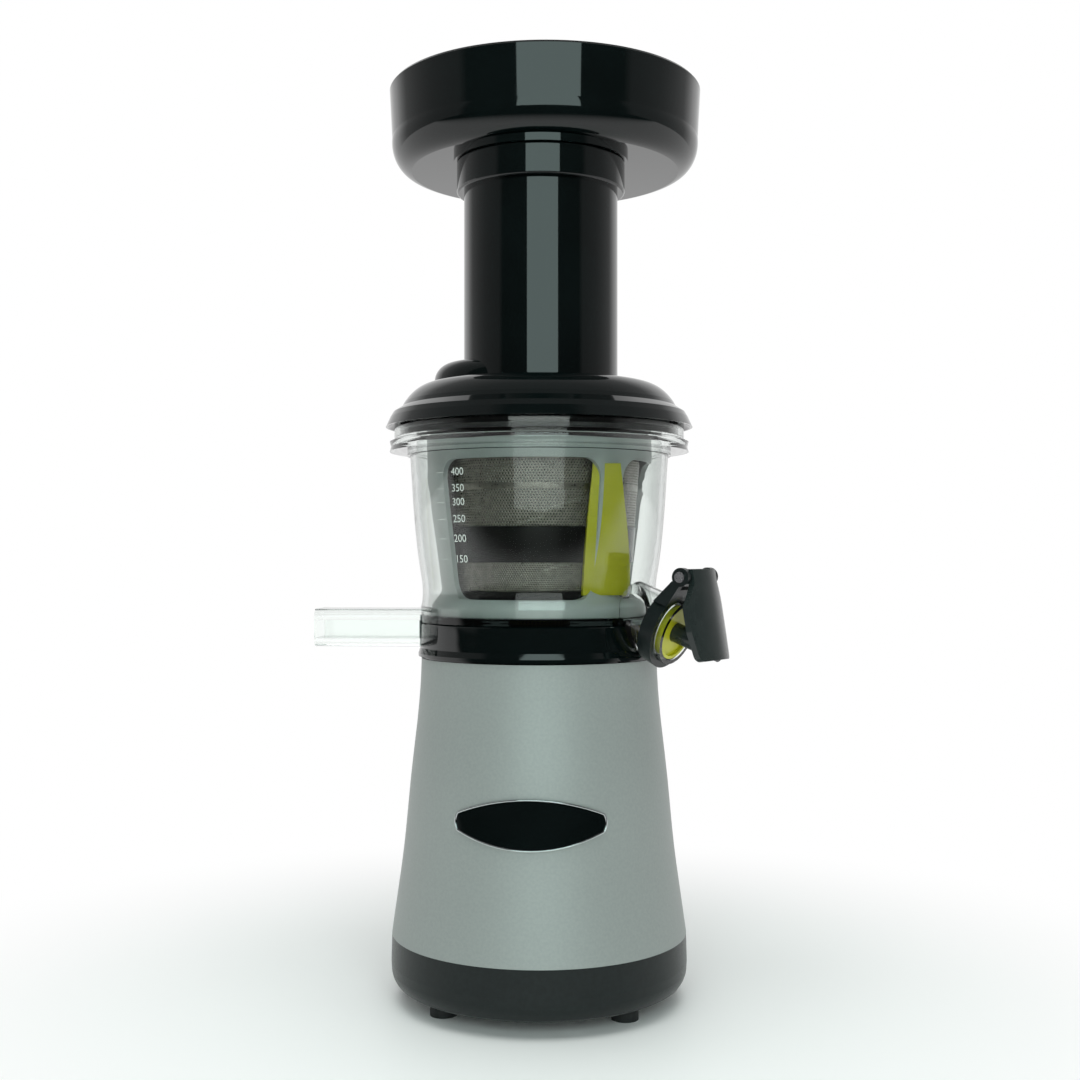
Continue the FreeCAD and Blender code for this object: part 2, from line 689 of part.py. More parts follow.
def fan():
    hub = tube(FAN_HUB_R, SHAFT_R, FAN_LOW, FAN_LOW + FAN_BLADE_T + 1)
    blade = block(FAN_HUB_R - 0.5, FAN_R, -0.7, 0.7, FAN_LOW, FAN_LOW + FAN_BLADE_T)
    disc = tube(FAN_R - 4, SHAFT_R, FAN_LOW + FAN_BLADE_T, FAN_LOW + FAN_BLADE_T + 1)
    return joined([hub, disc] + [spun(blade, 360.0 * k / FAN_BLADES) for k in range(FAN_BLADES)])


def gearbox_cover():
    plate = cylinder(HOUSING_R, COVER_LOW, COVER_TOP)
    holes = [cylinder(SHAFT_R + 1.5, COVER_LOW - 1, COVER_TOP + 1),
             cylinder(BUSH_R, COVER_LOW - 1, COVER_TOP + 1, 0, CENTRE_DISTANCE)]
    holes += [cylinder(SCREW_R, COVER_LOW - 1, COVER_TOP + 1, x, y) for x, y in MOTOR_BOLTS + COVER_SCREWS]
    return cut_all(plate, holes)


def gearbox_housing():
    inner_r = HOUSING_R - HOUSING_WALL
    roof_low = HOUSING_ROOF_TOP - HOUSING_ROOF_T
    flange_top = SHELL_TOP - SHELL_FLANGE_T
    wall = tube(HOUSING_R, inner_r, COVER_TOP, HOUSING_ROOF_TOP)
    roof = cylinder(HOUSING_R, roof_low, HOUSING_ROOF_TOP)
    seat = tube(HOUSING_R, SHELL_FLANGE_R + 0.5, roof_low, flange_top)
    hub = cylinder(OUTPUT_HUB_R, HOUSING_ROOF_TOP - OUTPUT_HUB_DROP, HOUSING_ROOF_TOP)
    posts = [cylinder(COVER_POST_R, COVER_TOP, COVER_TOP + COVER_POST_RISE, x, y) for x, y in COVER_SCREWS
             if y < 1]
    whole = joined([wall, roof, seat, hub] + posts)
    bush_room = cylinder(BUSH_R, roof_low - 1, HOUSING_ROOF_TOP - 0.8, 0, CENTRE_DISTANCE)
    holes = [cylinder(OUTPUT_BEARING_R, HOUSING_ROOF_TOP - OUTPUT_HUB_DROP - 1, HOUSING_ROOF_TOP + 1), bush_room]
    holes += [cylinder(SCREW_R, roof_low - 1, flange_top + 1, x, y) for x, y in DECK_SCREWS]
    holes += [cylinder(SCREW_R, COVER_TOP - 1, COVER_TOP + 8, x, y) for x, y in COVER_SCREWS if y < 1]
    return cut_all(whole, holes)


def gearbox_screws():
    low = COVER_LOW - SCREW_HEAD_T
    return group([screw(x, y, low, COVER_LOW, low, COVER_TOP + 7) for x, y in COVER_SCREWS if y < 1])


def countershaft():
    return cylinder(COUNTERSHAFT_R, COVER_LOW + 0.5, HOUSING_ROOF_TOP - 1.0, 0, CENTRE_DISTANCE)


def countershaft_bushes():
    y = CENTRE_DISTANCE
    low = tube(BUSH_R, COUNTERSHAFT_R + RUN, COVER_LOW, COVER_TOP + 1, 0, y)
    high = tube(BUSH_R, COUNTERSHAFT_R + RUN, HOUSING_ROOF_TOP - 4.5, HOUSING_ROOF_TOP - 0.8, 0, y)
    return group([low, high])


# A pinion tooth points at the wheel, and the wheel shows it a gap.
WHEEL_GAP = 180.0 / WHEEL_TEETH


def motor_pinion():
    gear = spur_gear(PINION_TEETH, GEAR_MODULE, FIRST_STAGE_LOW - 1, FIRST_STAGE_LOW + FIRST_STAGE_T + 1,
                     SHAFT_TIP_R, 90.0)
    return gear


def first_wheel():
    gear = spur_gear(WHEEL_TEETH, GEAR_MODULE, FIRST_STAGE_LOW, FIRST_STAGE_LOW + FIRST_STAGE_T,
                     COUNTERSHAFT_R, -90.0 + WHEEL_GAP)
    return moved(gear, 0, CENTRE_DISTANCE)


def second_pinion():
    gear = spur_gear(PINION_TEETH, GEAR_MODULE, SECOND_STAGE_LOW - 1, SECOND_STAGE_LOW + SECOND_STAGE_T + 1,
                     COUNTERSHAFT_R, -90.0)
    return moved(gear, 0, CENTRE_DISTANCE)


def output_wheel():
    return spur_gear(WHEEL_TEETH, GEAR_MODULE, SECOND_STAGE_LOW, SECOND_STAGE_LOW + SECOND_STAGE_T,
                     OUTPUT_R, 90.0 + WHEEL_GAP)


def hexagon(flats, low, high):
    corner_r = flats / math.sqrt(3)
    corners = [point(x, y, low) for x, y in circle_places(6, corner_r)]
    corners.append(corners[0])
    return Part.Face(Part.makePolygon(corners)).extrude(point(0, 0, high - low))


def drive_shaft():
    return joined([cylinder(OUTPUT_R, OUTPUT_LOW, HEX_LOW), hexagon(HEX_FLATS, HEX_LOW - 1, HEX_HIGH)])


def output_bearing():
    return tube(OUTPUT_BEARING_R, OUTPUT_R + RUN, HOUSING_ROOF_TOP - OUTPUT_HUB_DROP, HOUSING_ROOF_TOP)


def shaft_seal():
    return tube(DECK_HOLE_R, OUTPUT_R + RUN, DECK_LOW, DECK_TOP + 0.6)


MOUTH = point(MOUTH_REACH, 0, MOUTH_Z)
TILT = math.radians(SPOUT_TILT)
ALONG = point(math.cos(TILT), 0, -math.sin(TILT))


def on_spout(distance):
    return MOUTH + ALONG * distance


def spout_cylinder(radius, start, end):
    return Part.makeCylinder(radius, end - start, on_spout(start), ALONG)


def sector(inner, outer, low, high, middle, half_angle):
    # Part of a ring about the axis, centred on an angle from +X.
    face = Part.Face(Part.makePolygon([point(inner, 0, low), point(outer, 0, low), point(outer, 0, high),
                                       point(inner, 0, high), point(inner, 0, low)]))
    return spun(face.revolve(AXIS, UP, 2 * half_angle), middle - half_angle)


def juicing_bowl():
    inner_wall = inset(BOWL_OUTLINE, BOWL_WALL)
    foot_in = BOWL_FOOT_R - BOWL_WALL
    floor_low = BOWL_FLOOR_TOP - BOWL_FLOOR_T
    outside = turned((0, floor_low), (PLUG_R - PLUG_WALL, floor_low), (PLUG_R - PLUG_WALL, PLUG_LOW),
                     (PLUG_R, PLUG_LOW), (PLUG_R, DOCK_TOP), (BOWL_FOOT_R, DOCK_TOP), BOWL_OUTLINE,
                     (BOWL_BEAD_R, BOWL_BEAD_Z), (BOWL_BEAD_R, BOWL_FLANGE_LOW), (BOWL_FLANGE_R, BOWL_FLANGE_LOW),
                     (BOWL_FLANGE_R - 0.6, (BOWL_FLANGE_LOW + BOWL_FLANGE_HIGH) / 2), (BOWL_FLANGE_R, BOWL_FLANGE_HIGH),
                     (RIM_R, BOWL_FLANGE_HIGH), (RIM_R, RIM_TOP), (0, RIM_TOP))
    cavity = turned((0, BOWL_FLOOR_TOP), (foot_in, BOWL_FLOOR_TOP), inner_wall,
                    (inner_wall[-1][0], BOWL_LEDGE_Z), (RIM_R - RIM_WALL, BOWL_LEDGE_Z),
                    (RIM_R - RIM_WALL, RIM_TOP + 1), (0, RIM_TOP + 1))

    pulp_far = -PULP_REACH
    channel_near = -PULP_INNER_REACH + PULP_END_WALL
    tube_block = block(pulp_far, -BOWL_FOOT_R + 5, -PULP_HALF_WIDTH, PULP_HALF_WIDTH, PULP_LOW, PULP_HIGH)
    long_edges = [e for e in tube_block.Edges if abs(e.Vertexes[0].Point.x - e.Vertexes[1].Point.x) > 10]
    tube_block = tube_block.makeFillet(PULP_ROUND, long_edges)
    channel = block(-PLUG_R, channel_near, -PULP_HALF_WIDTH, PULP_HALF_WIDTH, PULP_LOW, BOWL_FLOOR_TOP)
    bore = block(pulp_far - 1, -PULP_INNER_REACH, -PULP_BORE_HALF, PULP_BORE_HALF, PULP_BORE_LOW, PULP_BORE_HIGH)
    collar = sector(COLLAR_IN_R, COLLAR_OUT_R, BOWL_FLOOR_TOP - 1, COLLAR_TOP, 180.0, COLLAR_HALF_ANGLE)
    drop_half = COLLAR_HALF_ANGLE - math.degrees(COLLAR_WALL / COLLAR_OUT_R) * 1.5
    drop = sector(COLLAR_IN_R + COLLAR_WALL, COLLAR_OUT_R - COLLAR_WALL, PULP_BORE_LOW + 2, COLLAR_TOP + 1, 180.0,
                  drop_half)
    drop_room = block(-COLLAR_OUT_R, -COLLAR_IN_R, -PULP_BORE_HALF, PULP_BORE_HALF, PULP_BORE_LOW, RIM_TOP)
    drop = drop.common(drop_room)
    service = block(-CLEANING_PLUG_FAR, -CLEANING_PLUG_NEAR, -PULP_BORE_HALF + 2, PULP_BORE_HALF - 2,
                    PULP_LOW - 1, PULP_BORE_LOW + 1)

    spout = spout_cylinder(SPOUT_R, -SPOUT_LENGTH, 0)
    keep_off_dock = cylinder(SPOUT_BACK_R, PULP_LOW - 20, DOCK_TOP)
    spout = at_azimuth(spout.cut(keep_off_dock), TAP_AZIMUTH)
    spout_bore = spout_cylinder(SPOUT_BORE_R, -SPOUT_LENGTH, 1)
    back_wall = cylinder(SPOUT_BACK_R + SPOUT_BACK_WALL, PULP_LOW - 20, BOWL_FLOOR_TOP)
    spout_bore = at_azimuth(spout_bore.cut(back_wall), TAP_AZIMUTH)

    idler_boss = at_azimuth(cylinder(IDLER_BOSS_R, IDLER_BOSS_LOW, BOWL_FLOOR_TOP, IDLER_X, 0), IDLER_AZIMUTH)
    idler_hole = at_azimuth(cylinder(IDLER_PIN_R, IDLER_PIN_LOW, BOWL_FLOOR_TOP + 1, IDLER_X, 0), IDLER_AZIMUTH)
    hub = cylinder(BOWL_HOLE_R + 3, floor_low - 3, BOWL_FLOOR_TOP)

    bowl = joined([outside, tube_block, channel, spout])
    bowl = bowl.cut(cavity)
    bowl = joined([bowl, collar, idler_boss, hub])
    groove = tube(RIM_R - RIM_WALL + GROOVE_DEPTH, RIM_R - RIM_WALL - 1, LUG_LOW - 0.3, LUG_HIGH + 0.3)
    entry_half = LUG_HALF_ANGLE + 0.5
    entries = [sector(RIM_R - RIM_WALL - 1, RIM_R - RIM_WALL + GROOVE_DEPTH, LUG_LOW, RIM_TOP + 1,
                      LUG_PHASE + LUG_TURN + 360.0 * k / LUG_COUNT - 90.0, entry_half) for k in range(LUG_COUNT)]
    holes = [bore, drop, service, spout_bore, idler_hole, cylinder(BOWL_HOLE_R, floor_low - 5, BOWL_FLOOR_TOP + 1)]
    return cut_all(bowl, holes + [groove] + entries)


SUN_R = STAGE_MODULE * SUN_TEETH / 2
IDLER_GEAR_R = STAGE_MODULE * IDLER_TEETH / 2
IDLER_X = SUN_R + IDLER_GEAR_R
RING_TEETH = SUN_TEETH + 2 * IDLER_TEETH
IDLER_ANGLE = IDLER_AZIMUTH - 90.0


def bowl_seal():
    floor_low = BOWL_FLOOR_TOP - BOWL_FLOOR_T
    return tube(BOWL_HOLE_R, OUTPUT_R + RUN * 2, floor_low - 3, BOWL_FLOOR_TOP + 0.2)


def pulp_plug():
    half = PULP_BORE_HALF - 2
    return block(-CLEANING_PLUG_FAR, -CLEANING_PLUG_NEAR, -half, half, PULP_LOW, PULP_BORE_LOW)


def idler_pin():
    return at_azimuth(cylinder(IDLER_PIN_R, IDLER_PIN_LOW, STRAINER_LOW, IDLER_X, 0), IDLER_AZIMUTH)


def idler_gear():
    phase = IDLER_ANGLE + 180.0 / IDLER_TEETH
    gear = spur_gear(IDLER_TEETH, STAGE_MODULE, STAGE_LOW, STAGE_HIGH, IDLER_PIN_R + RUN, phase)
    return at_azimuth(moved(spun(gear, 90.0 - IDLER_AZIMUTH), IDLER_X), IDLER_AZIMUTH)


def tap_collar():
    length = TAP_COLLAR_BACK - TAP_COLLAR_FRONT
    cone = Part.makeCone(TAP_COLLAR_BACK_R, TAP_COLLAR_FRONT_R, length, on_spout(-TAP_COLLAR_BACK), ALONG)
    half_width = EAR_INNER + EAR_T
    rise = point(math.sin(TILT), 0, math.cos(TILT))
    foot_back = on_spout(-TAP_COLLAR_BACK + 0.5) + rise * (TAP_COLLAR_BACK_R - 4)
    foot_front = on_spout(-TAP_COLLAR_FRONT) + rise * (TAP_COLLAR_BACK_R - 4)
    neck = point(HINGE_REACH - EAR_R, 0, HINGE_Z - 1.5)
    under = point(HINGE_REACH - 0.5, 0, HINGE_Z - EAR_R)
    corners = [foot_back, neck, under, foot_front, foot_back]
    arm = Part.Face(Part.makePolygon(corners)).extrude(point(0, 2 * half_width, 0))
    arm = moved(arm, 0, -half_width)
    ear = Part.makeCylinder(EAR_R, 2 * half_width, point(HINGE_REACH, -half_width, HINGE_Z), point(0, 1, 0))
    whole = joined([cone, arm, ear])
    barrel_room = Part.makeCylinder(BARREL_R + 0.9, 2 * EAR_INNER,
                                    point(HINGE_REACH, -EAR_INNER, HINGE_Z), point(0, 1, 0))
    front_room = block(HINGE_REACH - 1.6, HINGE_REACH + 8, -EAR_INNER, EAR_INNER, HINGE_Z - 12, HINGE_Z + 8)
    pin_hole = Part.makeCylinder(HINGE_PIN_R, 2 * half_width + 2,
                                 point(HINGE_REACH, -half_width - 1, HINGE_Z), point(0, 1, 0))
    holes = [barrel_room, front_room, pin_hole, spout_cylinder(SPOUT_R, -SPOUT_LENGTH, 12)]
    return at_azimuth(cut_all(whole, holes), TAP_AZIMUTH)


def tap_pin():
    half = EAR_INNER + EAR_T + 0.8
    pin = Part.makeCylinder(HINGE_PIN_R, 2 * half, point(HINGE_REACH, -half, HINGE_Z), point(0, 1, 0))
    heads = [Part.makeCylinder(HINGE_PIN_R + 0.9, 0.8, point(HINGE_REACH, side, HINGE_Z), point(0, 1, 0))
             for side in (-half, half - 0.8)]
    return at_azimuth(joined([pin] + heads), TAP_AZIMUTH)


def tap_flap():
    barrel_half = EAR_INNER - 0.2
    barrel = Part.makeCylinder(BARREL_R, 2 * barrel_half, point(HINGE_REACH, -barrel_half, HINGE_Z), point(0, 1, 0))
    top_z = HINGE_Z + BARREL_R - 0.4
    bend_x = FLAP_TOP_X - FLAP_BEND_R + FLAP_T
    sheet = tube(FLAP_BEND_R, FLAP_BEND_R - FLAP_T, top_z - 60, top_z + 20, bend_x, 0)
    low = top_z - FLAP_BOTTOM_DROP
    mid = top_z - FLAP_MID_DROP
    sides = [(FLAP_TOP_HALF, top_z), (FLAP_TOP_HALF, top_z - 5), (FLAP_MID_HALF, mid), (FLAP_MID_HALF, mid - 10),
             (FLAP_BOTTOM_HALF, low)]
    corners = [point(0, y, z) for y, z in sides] + [point(0, -y, z) for y, z in reversed(sides)]
    corners.append(corners[0])
    outline = Part.Face(Part.makePolygon(corners)).extrude(point(130, 0, 0))
    upright = [e for e in outline.Edges if abs(e.Vertexes[0].Point.x - e.Vertexes[1].Point.x) > 10
               and abs(e.Vertexes[0].Point.z - top_z) > 1]
    outline = outline.makeFillet(3.0, upright)
    front_half = block(bend_x + 5, 130, -40, 40, 100, 220)
    panel = sheet.common(outline).common(front_half)
    panel.rotate(point(FLAP_TOP_X, 0, top_z), point(0, 1, 0), -FLAP_LEAN)
    bridge = block(HINGE_REACH, FLAP_TOP_X + 0.6, -barrel_half, barrel_half, HINGE_Z + BARREL_R - 2.0,
                   HINGE_Z + BARREL_R)
    boss = spout_cylinder(BOSS_R, -PLUG_FACE - PLUG_DISH, 20)
    behind = block(40, bend_x + FLAP_BEND_R - 0.8, -20, 20, 120, 220)
    behind.rotate(point(FLAP_TOP_X, 0, top_z), point(0, 1, 0), -FLAP_LEAN)
    boss = boss.common(behind)
    flap = joined([barrel, panel, bridge, boss])
    bore = Part.makeCylinder(HINGE_PIN_R + RUN, 40, point(HINGE_REACH, -20, HINGE_Z), point(0, 1, 0))
    return at_azimuth(flap.cut(bore), TAP_AZIMUTH)


def tap_plug():
    depth = PLUG_DEPTH - PLUG_FACE
    cone = Part.makeCone(PLUG_BACK_R, PLUG_FACE_R, depth, on_spout(-PLUG_DEPTH), ALONG)
    dish = Part.makeCylinder(PLUG_FACE_R - 1.2, PLUG_DISH, on_spout(-PLUG_FACE - PLUG_DISH), ALONG)
    return at_azimuth(cone.cut(dish), TAP_AZIMUTH)


def window_cutter(start, end):
    half = (end - start) / 2
    cutter = sector(30.0, 60.0, WINDOW_LOW, WINDOW_HIGH, (start + end) / 2 - 90.0, half)
    straight = [e for e in cutter.Edges if len(e.Vertexes) == 2 and isinstance(e.Curve, Part.Line)
                and abs(e.Vertexes[0].Point.z - e.Vertexes[1].Point.z) < 0.01]
    return cutter.makeFillet(WINDOW_ROUND if half > 12 else 3.0, straight)


def brush_frame(wipers):
    ring_root_r = STAGE_MODULE * RING_TEETH / 2 + 1.15 * STAGE_MODULE
    inner = inset(BRUSH_OUTLINE, BRUSH_WALL)
    foot_curve = [(BRUSH_FOOT_R, BRUSH_FOOT_TOP), (44.2, 168.0), (42.0, 170.6), BRUSH_OUTLINE[0]]
    top_r = BRUSH_OUTLINE[-1][0]
    body = turned((BRUSH_FOOT_R, BRUSH_LOW), foot_curve, BRUSH_OUTLINE, (top_r, BRUSH_TOP),
                  (top_r - BRUSH_WALL, BRUSH_TOP), list(reversed(inner)), (inner[0][0], STAGE_HIGH + 0.6),
                  (ring_root_r - 3.5, STAGE_HIGH + 0.6), (ring_root_r - 3.5, BRUSH_LOW))
    phase = IDLER_ANGLE + 180.0 / RING_TEETH
    cutter = gear_prism(RING_TEETH, STAGE_MODULE, BRUSH_LOW - 1, STAGE_HIGH + 2, 1.15, 0.9, -BACKLASH / 2, phase)
    body = body.cut(cutter.fuse(cylinder(ring_root_r - 3.0, BRUSH_LOW - 1, STAGE_HIGH + 2)))
    edges = [(azimuth - width / 2, azimuth + width / 2) for azimuth, width in POSTS]
    for (_, start), (end, _) in zip(edges, edges[1:] + [(edges[0][0] + 360.0, 0)]):
        body = body.cut(window_cutter(start, end))
    return cut_all(body, wipers)


def wiper(turn):
    sections = []
    inner_wall = inset([(BOWL_FOOT_R, DOCK_TOP)] + BOWL_OUTLINE, BOWL_WALL)
    for z, inner_azimuth, outer_azimuth in WIPER_TWIST:
        reach_in = strainer_radius(z) + BAND_PROUD + SOFT_GAP + WIPER_T / 2
        reach_out = radius_at(inner_wall, z) - SOFT_GAP * 2 - WIPER_T / 2
        start = math.radians(inner_azimuth - 90.0)
        end = math.radians(outer_azimuth - 90.0)
        first = point(reach_in * math.cos(start), reach_in * math.sin(start), z)
        last = point(reach_out * math.cos(end), reach_out * math.sin(end), z)
        side = (last - first).cross(UP)
        side.normalize()
        side = side * (WIPER_T / 2)
        sections.append(Part.makePolygon([first + side, last + side, last - side, first - side, first + side]))
    return spun(Part.makeLoft(sections, True, False), turn)


def strainer_frame():
    bottom = cone_shell(STRAINER_LOW, LOWER_SCREEN[0], BAND_PROUD, STRAINER_WALL + BAND_PROUD)
    floor_r = strainer_radius(STRAINER_LOW) - 0.5
    floor = tube(floor_r, STRAINER_HOLE_R, STRAINER_LOW, STRAINER_LOW + STRAINER_FLOOR_T)
    band = cone_shell(LOWER_SCREEN[1], UPPER_SCREEN[0], BAND_PROUD, STRAINER_WALL + BAND_PROUD)
    top = cone_shell(UPPER_SCREEN[1], STRAINER_TOP, BAND_PROUD, STRAINER_WALL + BAND_PROUD)
    lower_cage = cone_shell(LOWER_SCREEN[0] - 1, LOWER_SCREEN[1] + 1, -SCREEN_T, RIB_T)
    upper_cage = cone_shell(UPPER_SCREEN[0] - 1, UPPER_SCREEN[1] + 1, -SCREEN_T, RIB_T)
    lower_face = cone_shell(LOWER_SCREEN[0] - 1, LOWER_SCREEN[1] + 1, 0.35, 0.35)
    bar = block(20, 60, -RIB_WIDTH / 2, RIB_WIDTH / 2, STRAINER_LOW, STRAINER_TOP)
    pieces = [bottom, floor, band, top]
    for k in range(LOWER_RIBS):
        spoke = spun(bar, 360.0 * k / LOWER_RIBS - 86.0)
        pieces += [lower_cage.common(spoke)]
    for k in range(UPPER_RIBS):
        pieces.append(upper_cage.common(spun(bar, 360.0 * k / UPPER_RIBS)))
    frame = joined(pieces)
    drop_half = COLLAR_HALF_ANGLE - math.degrees(COLLAR_WALL / COLLAR_OUT_R) * 1.5
    outlet = sector(COLLAR_IN_R + COLLAR_WALL, COLLAR_OUT_R - COLLAR_WALL, STRAINER_LOW - 1,
                    STRAINER_LOW + STRAINER_FLOOR_T + 1, 180.0, drop_half)
    return frame.cut(outlet)


def screen(span):
    return cone_shell(span[0], span[1], 0.0, SCREEN_T)


def auger():
    body_top_r = AUGER_CORE_HIGH_R
    core = turned((0, AUGER_LOW), (AUGER_STEM_R, AUGER_LOW), (AUGER_STEM_R, AUGER_BODY_LOW),
                  (AUGER_CORE_LOW_R, AUGER_BODY_LOW), (AUGER_CORE_LOW_R, AUGER_BODY_LOW + 3),
                  (body_top_r, AUGER_BODY_TOP), [(body_top_r, AUGER_BODY_TOP), (17.0, 234.0), (9.0, 237.5)],
                  (AUGER_PIN_R, 237.5), (AUGER_PIN_R, AUGER_PIN_TOP), (0, AUGER_PIN_TOP))
    sun = spur_gear(SUN_TEETH, STAGE_MODULE, STAGE_LOW + 0.2, STAGE_HIGH, 2.0, IDLER_ANGLE)
    low_r = strainer_radius(AUGER_BODY_LOW) - STRAINER_WALL - AUGER_GAP
    high_r = strainer_radius(AUGER_BODY_TOP) - STRAINER_WALL - AUGER_GAP
    envelope = turned((0, AUGER_BODY_LOW + 0.2), (low_r, AUGER_BODY_LOW + 0.2), (high_r, AUGER_BODY_TOP - 2),
                      (0, AUGER_BODY_TOP - 2))
    height = AUGER_BODY_TOP - AUGER_BODY_LOW + 10
    mean_r = (low_r + AUGER_CORE_LOW_R) / 2
    helix = Part.makeHelix(AUGER_PITCH, height, mean_r)
    half_t = AUGER_FLIGHT_T / 2
    section = Part.makePolygon([point(12, 0, -half_t), point(46, 0, -half_t), point(46, 0, half_t),
                                point(12, 0, half_t), point(12, 0, -half_t)])
    flight = Part.Wire(helix.Edges).makePipeShell([section], True, True)
    flight = moved(flight, 0, 0, AUGER_BODY_LOW - 5)
    flights = [spun(flight, turn).common(envelope) for turn in (0.0, 180.0)]
    whole = joined([core, sun] + flights)
    return whole.cut(hexagon(HEX_FLATS + 0.4, AUGER_LOW - 1, HEX_HIGH + 0.3))


def lid_bottom_hole():
    return cylinder(CHUTE_R + RUN, LID_TOP - 30, LID_TOP + 60, 0, CHUTE_Y)


def lid():
    skirt_in = LID_SKIRT_R - LID_SKIRT_WALL
    inner_dome = [(r - LID_WALL, z - LID_WALL) for r, z in LID_DOME]
    outer = turned((LID_TIP_R, LID_TIP_Z), LID_OUTLINE[0], LID_OUTLINE[1], LID_OUTLINE[2], LID_DOME,
                   (0, LID_TOP), (0, LID_TOP - LID_WALL), list(reversed(inner_dome)), (skirt_in, 246.0),
                   (skirt_in, LID_SKIRT_LOW), (LID_SKIRT_R, LID_SKIRT_LOW), (LID_SKIRT_R, RIM_TOP),
                   (RIM_R + LID_RIM_GAP, RIM_TOP), (LID_TIP_R - 0.9, LID_TIP_Z))
    hump = cylinder(HUMP_R, LID_TOP - LID_WALL, LID_TOP + HUMP_RISE, -HUMP_SHIFT, HUMP_BACK)
    top_edge = [e for e in hump.Edges if all(v.Point.z > LID_TOP for v in e.Vertexes)
                and isinstance(e.Curve, Part.Circle)]
    hump = hump.makeFillet(HUMP_ROUND, top_edge)
    hump_room = cylinder(HUMP_R - LID_WALL, LID_TOP - 20, LID_TOP + HUMP_RISE - LID_WALL, -HUMP_SHIFT, HUMP_BACK)
    hump_room = hump_room.makeFillet(HUMP_ROUND - 2, [e for e in hump_room.Edges if isinstance(e.Curve, Part.Circle)
                                                      and e.Vertexes[0].Point.z > LID_TOP])
    shell = joined([outer, hump]).cut(hump_room.common(cylinder(LID_DOME[-1][0] - LID_WALL, 200, 300)))
    shell = shell.cut(lid_bottom_hole())
    hub = cylinder(LID_HUB_R, LID_HUB_LOW, LID_HUB_HIGH)
    bridge = block(-BRIDGE_WIDTH / 2, BRIDGE_WIDTH / 2, -skirt_in - 0.5, 0, LID_HUB_LOW + 2, LID_HUB_HIGH - 3)
    lugs = [sector(LID_SKIRT_R - 0.5, LID_SKIRT_R + LUG_REACH, LUG_LOW, LUG_HIGH,
                   LUG_PHASE + 360.0 * k / LUG_COUNT - 90.0, LUG_HALF_ANGLE) for k in range(LUG_COUNT)]
    whole = joined([shell, bridge, hub] + lugs)
    return whole.cut(cylinder(AUGER_BUSH_R, LID_HUB_LOW - 1, LID_HUB_HIGH - 2))


def auger_bush():
    return tube(AUGER_BUSH_R, AUGER_PIN_R + RUN, LID_HUB_LOW, LID_HUB_HIGH - 2)


def lid_seal():
    middle = LID_SKIRT_R - LID_SKIRT_WALL / 2
    return tube(middle + 1.1, middle - 1.1, BOWL_LEDGE_Z, LID_SKIRT_LOW)


def feed_chute():
    flange_low = LID_TOP - LID_WALL - 2
    wall = cylinder(CHUTE_R, flange_low, CHUTE_RING_LOW + 1, 0, CHUTE_Y)
    flange = cylinder(CHUTE_FLANGE_R, flange_low, LID_TOP - LID_WALL, 0, CHUTE_Y)
    ring = cylinder(CHUTE_RING_R, CHUTE_RING_LOW, CHUTE_TOP, 0, CHUTE_Y)
    low_edge = [e for e in ring.Edges if isinstance(e.Curve, Part.Circle)]
    ring = ring.makeFillet(1.0, low_edge)
    whole = joined([wall, flange, ring])
    return whole.cut(cylinder(CHUTE_R - CHUTE_WALL, flange_low - 1, CHUTE_TOP + 1, 0, CHUTE_Y))


def feed_tray():
    floor_top = TRAY_FLOOR_Z + TRAY_WALL
    inner_r = TRAY_R - TRAY_WALL
    bend = [(TRAY_FLOOR_R, TRAY_FLOOR_Z), (65.2, 361.6), (68.2, 367.0), (TRAY_R - 1.1, TRAY_WALL_Z)]
    inner_bend = [(r - TRAY_WALL, z + TRAY_WALL) for r, z in bend]
    bowl = turned((0, TRAY_FLOOR_Z), bend, (TRAY_R, TRAY_TOP - 1.0), (TRAY_R - 0.8, TRAY_TOP),
                  (inner_r, TRAY_TOP), list(reversed(inner_bend)), (0, floor_top))
    bowl = moved(bowl, 0, TRAY_Y)
    lip = cylinder(TRAY_LIP_R, CHUTE_TOP, TRAY_FLOOR_Z + 0.2, 0, CHUTE_Y)
    spigot_r = CHUTE_R - CHUTE_WALL - SOFT_GAP
    spigot = cylinder(spigot_r, SPIGOT_LOW, CHUTE_TOP + 1, 0, CHUTE_Y)
    whole = joined([bowl, lip, spigot])
    return whole.cut(cylinder(spigot_r - SPIGOT_WALL, SPIGOT_LOW - 1, TRAY_TOP + 1, 0, CHUTE_Y))


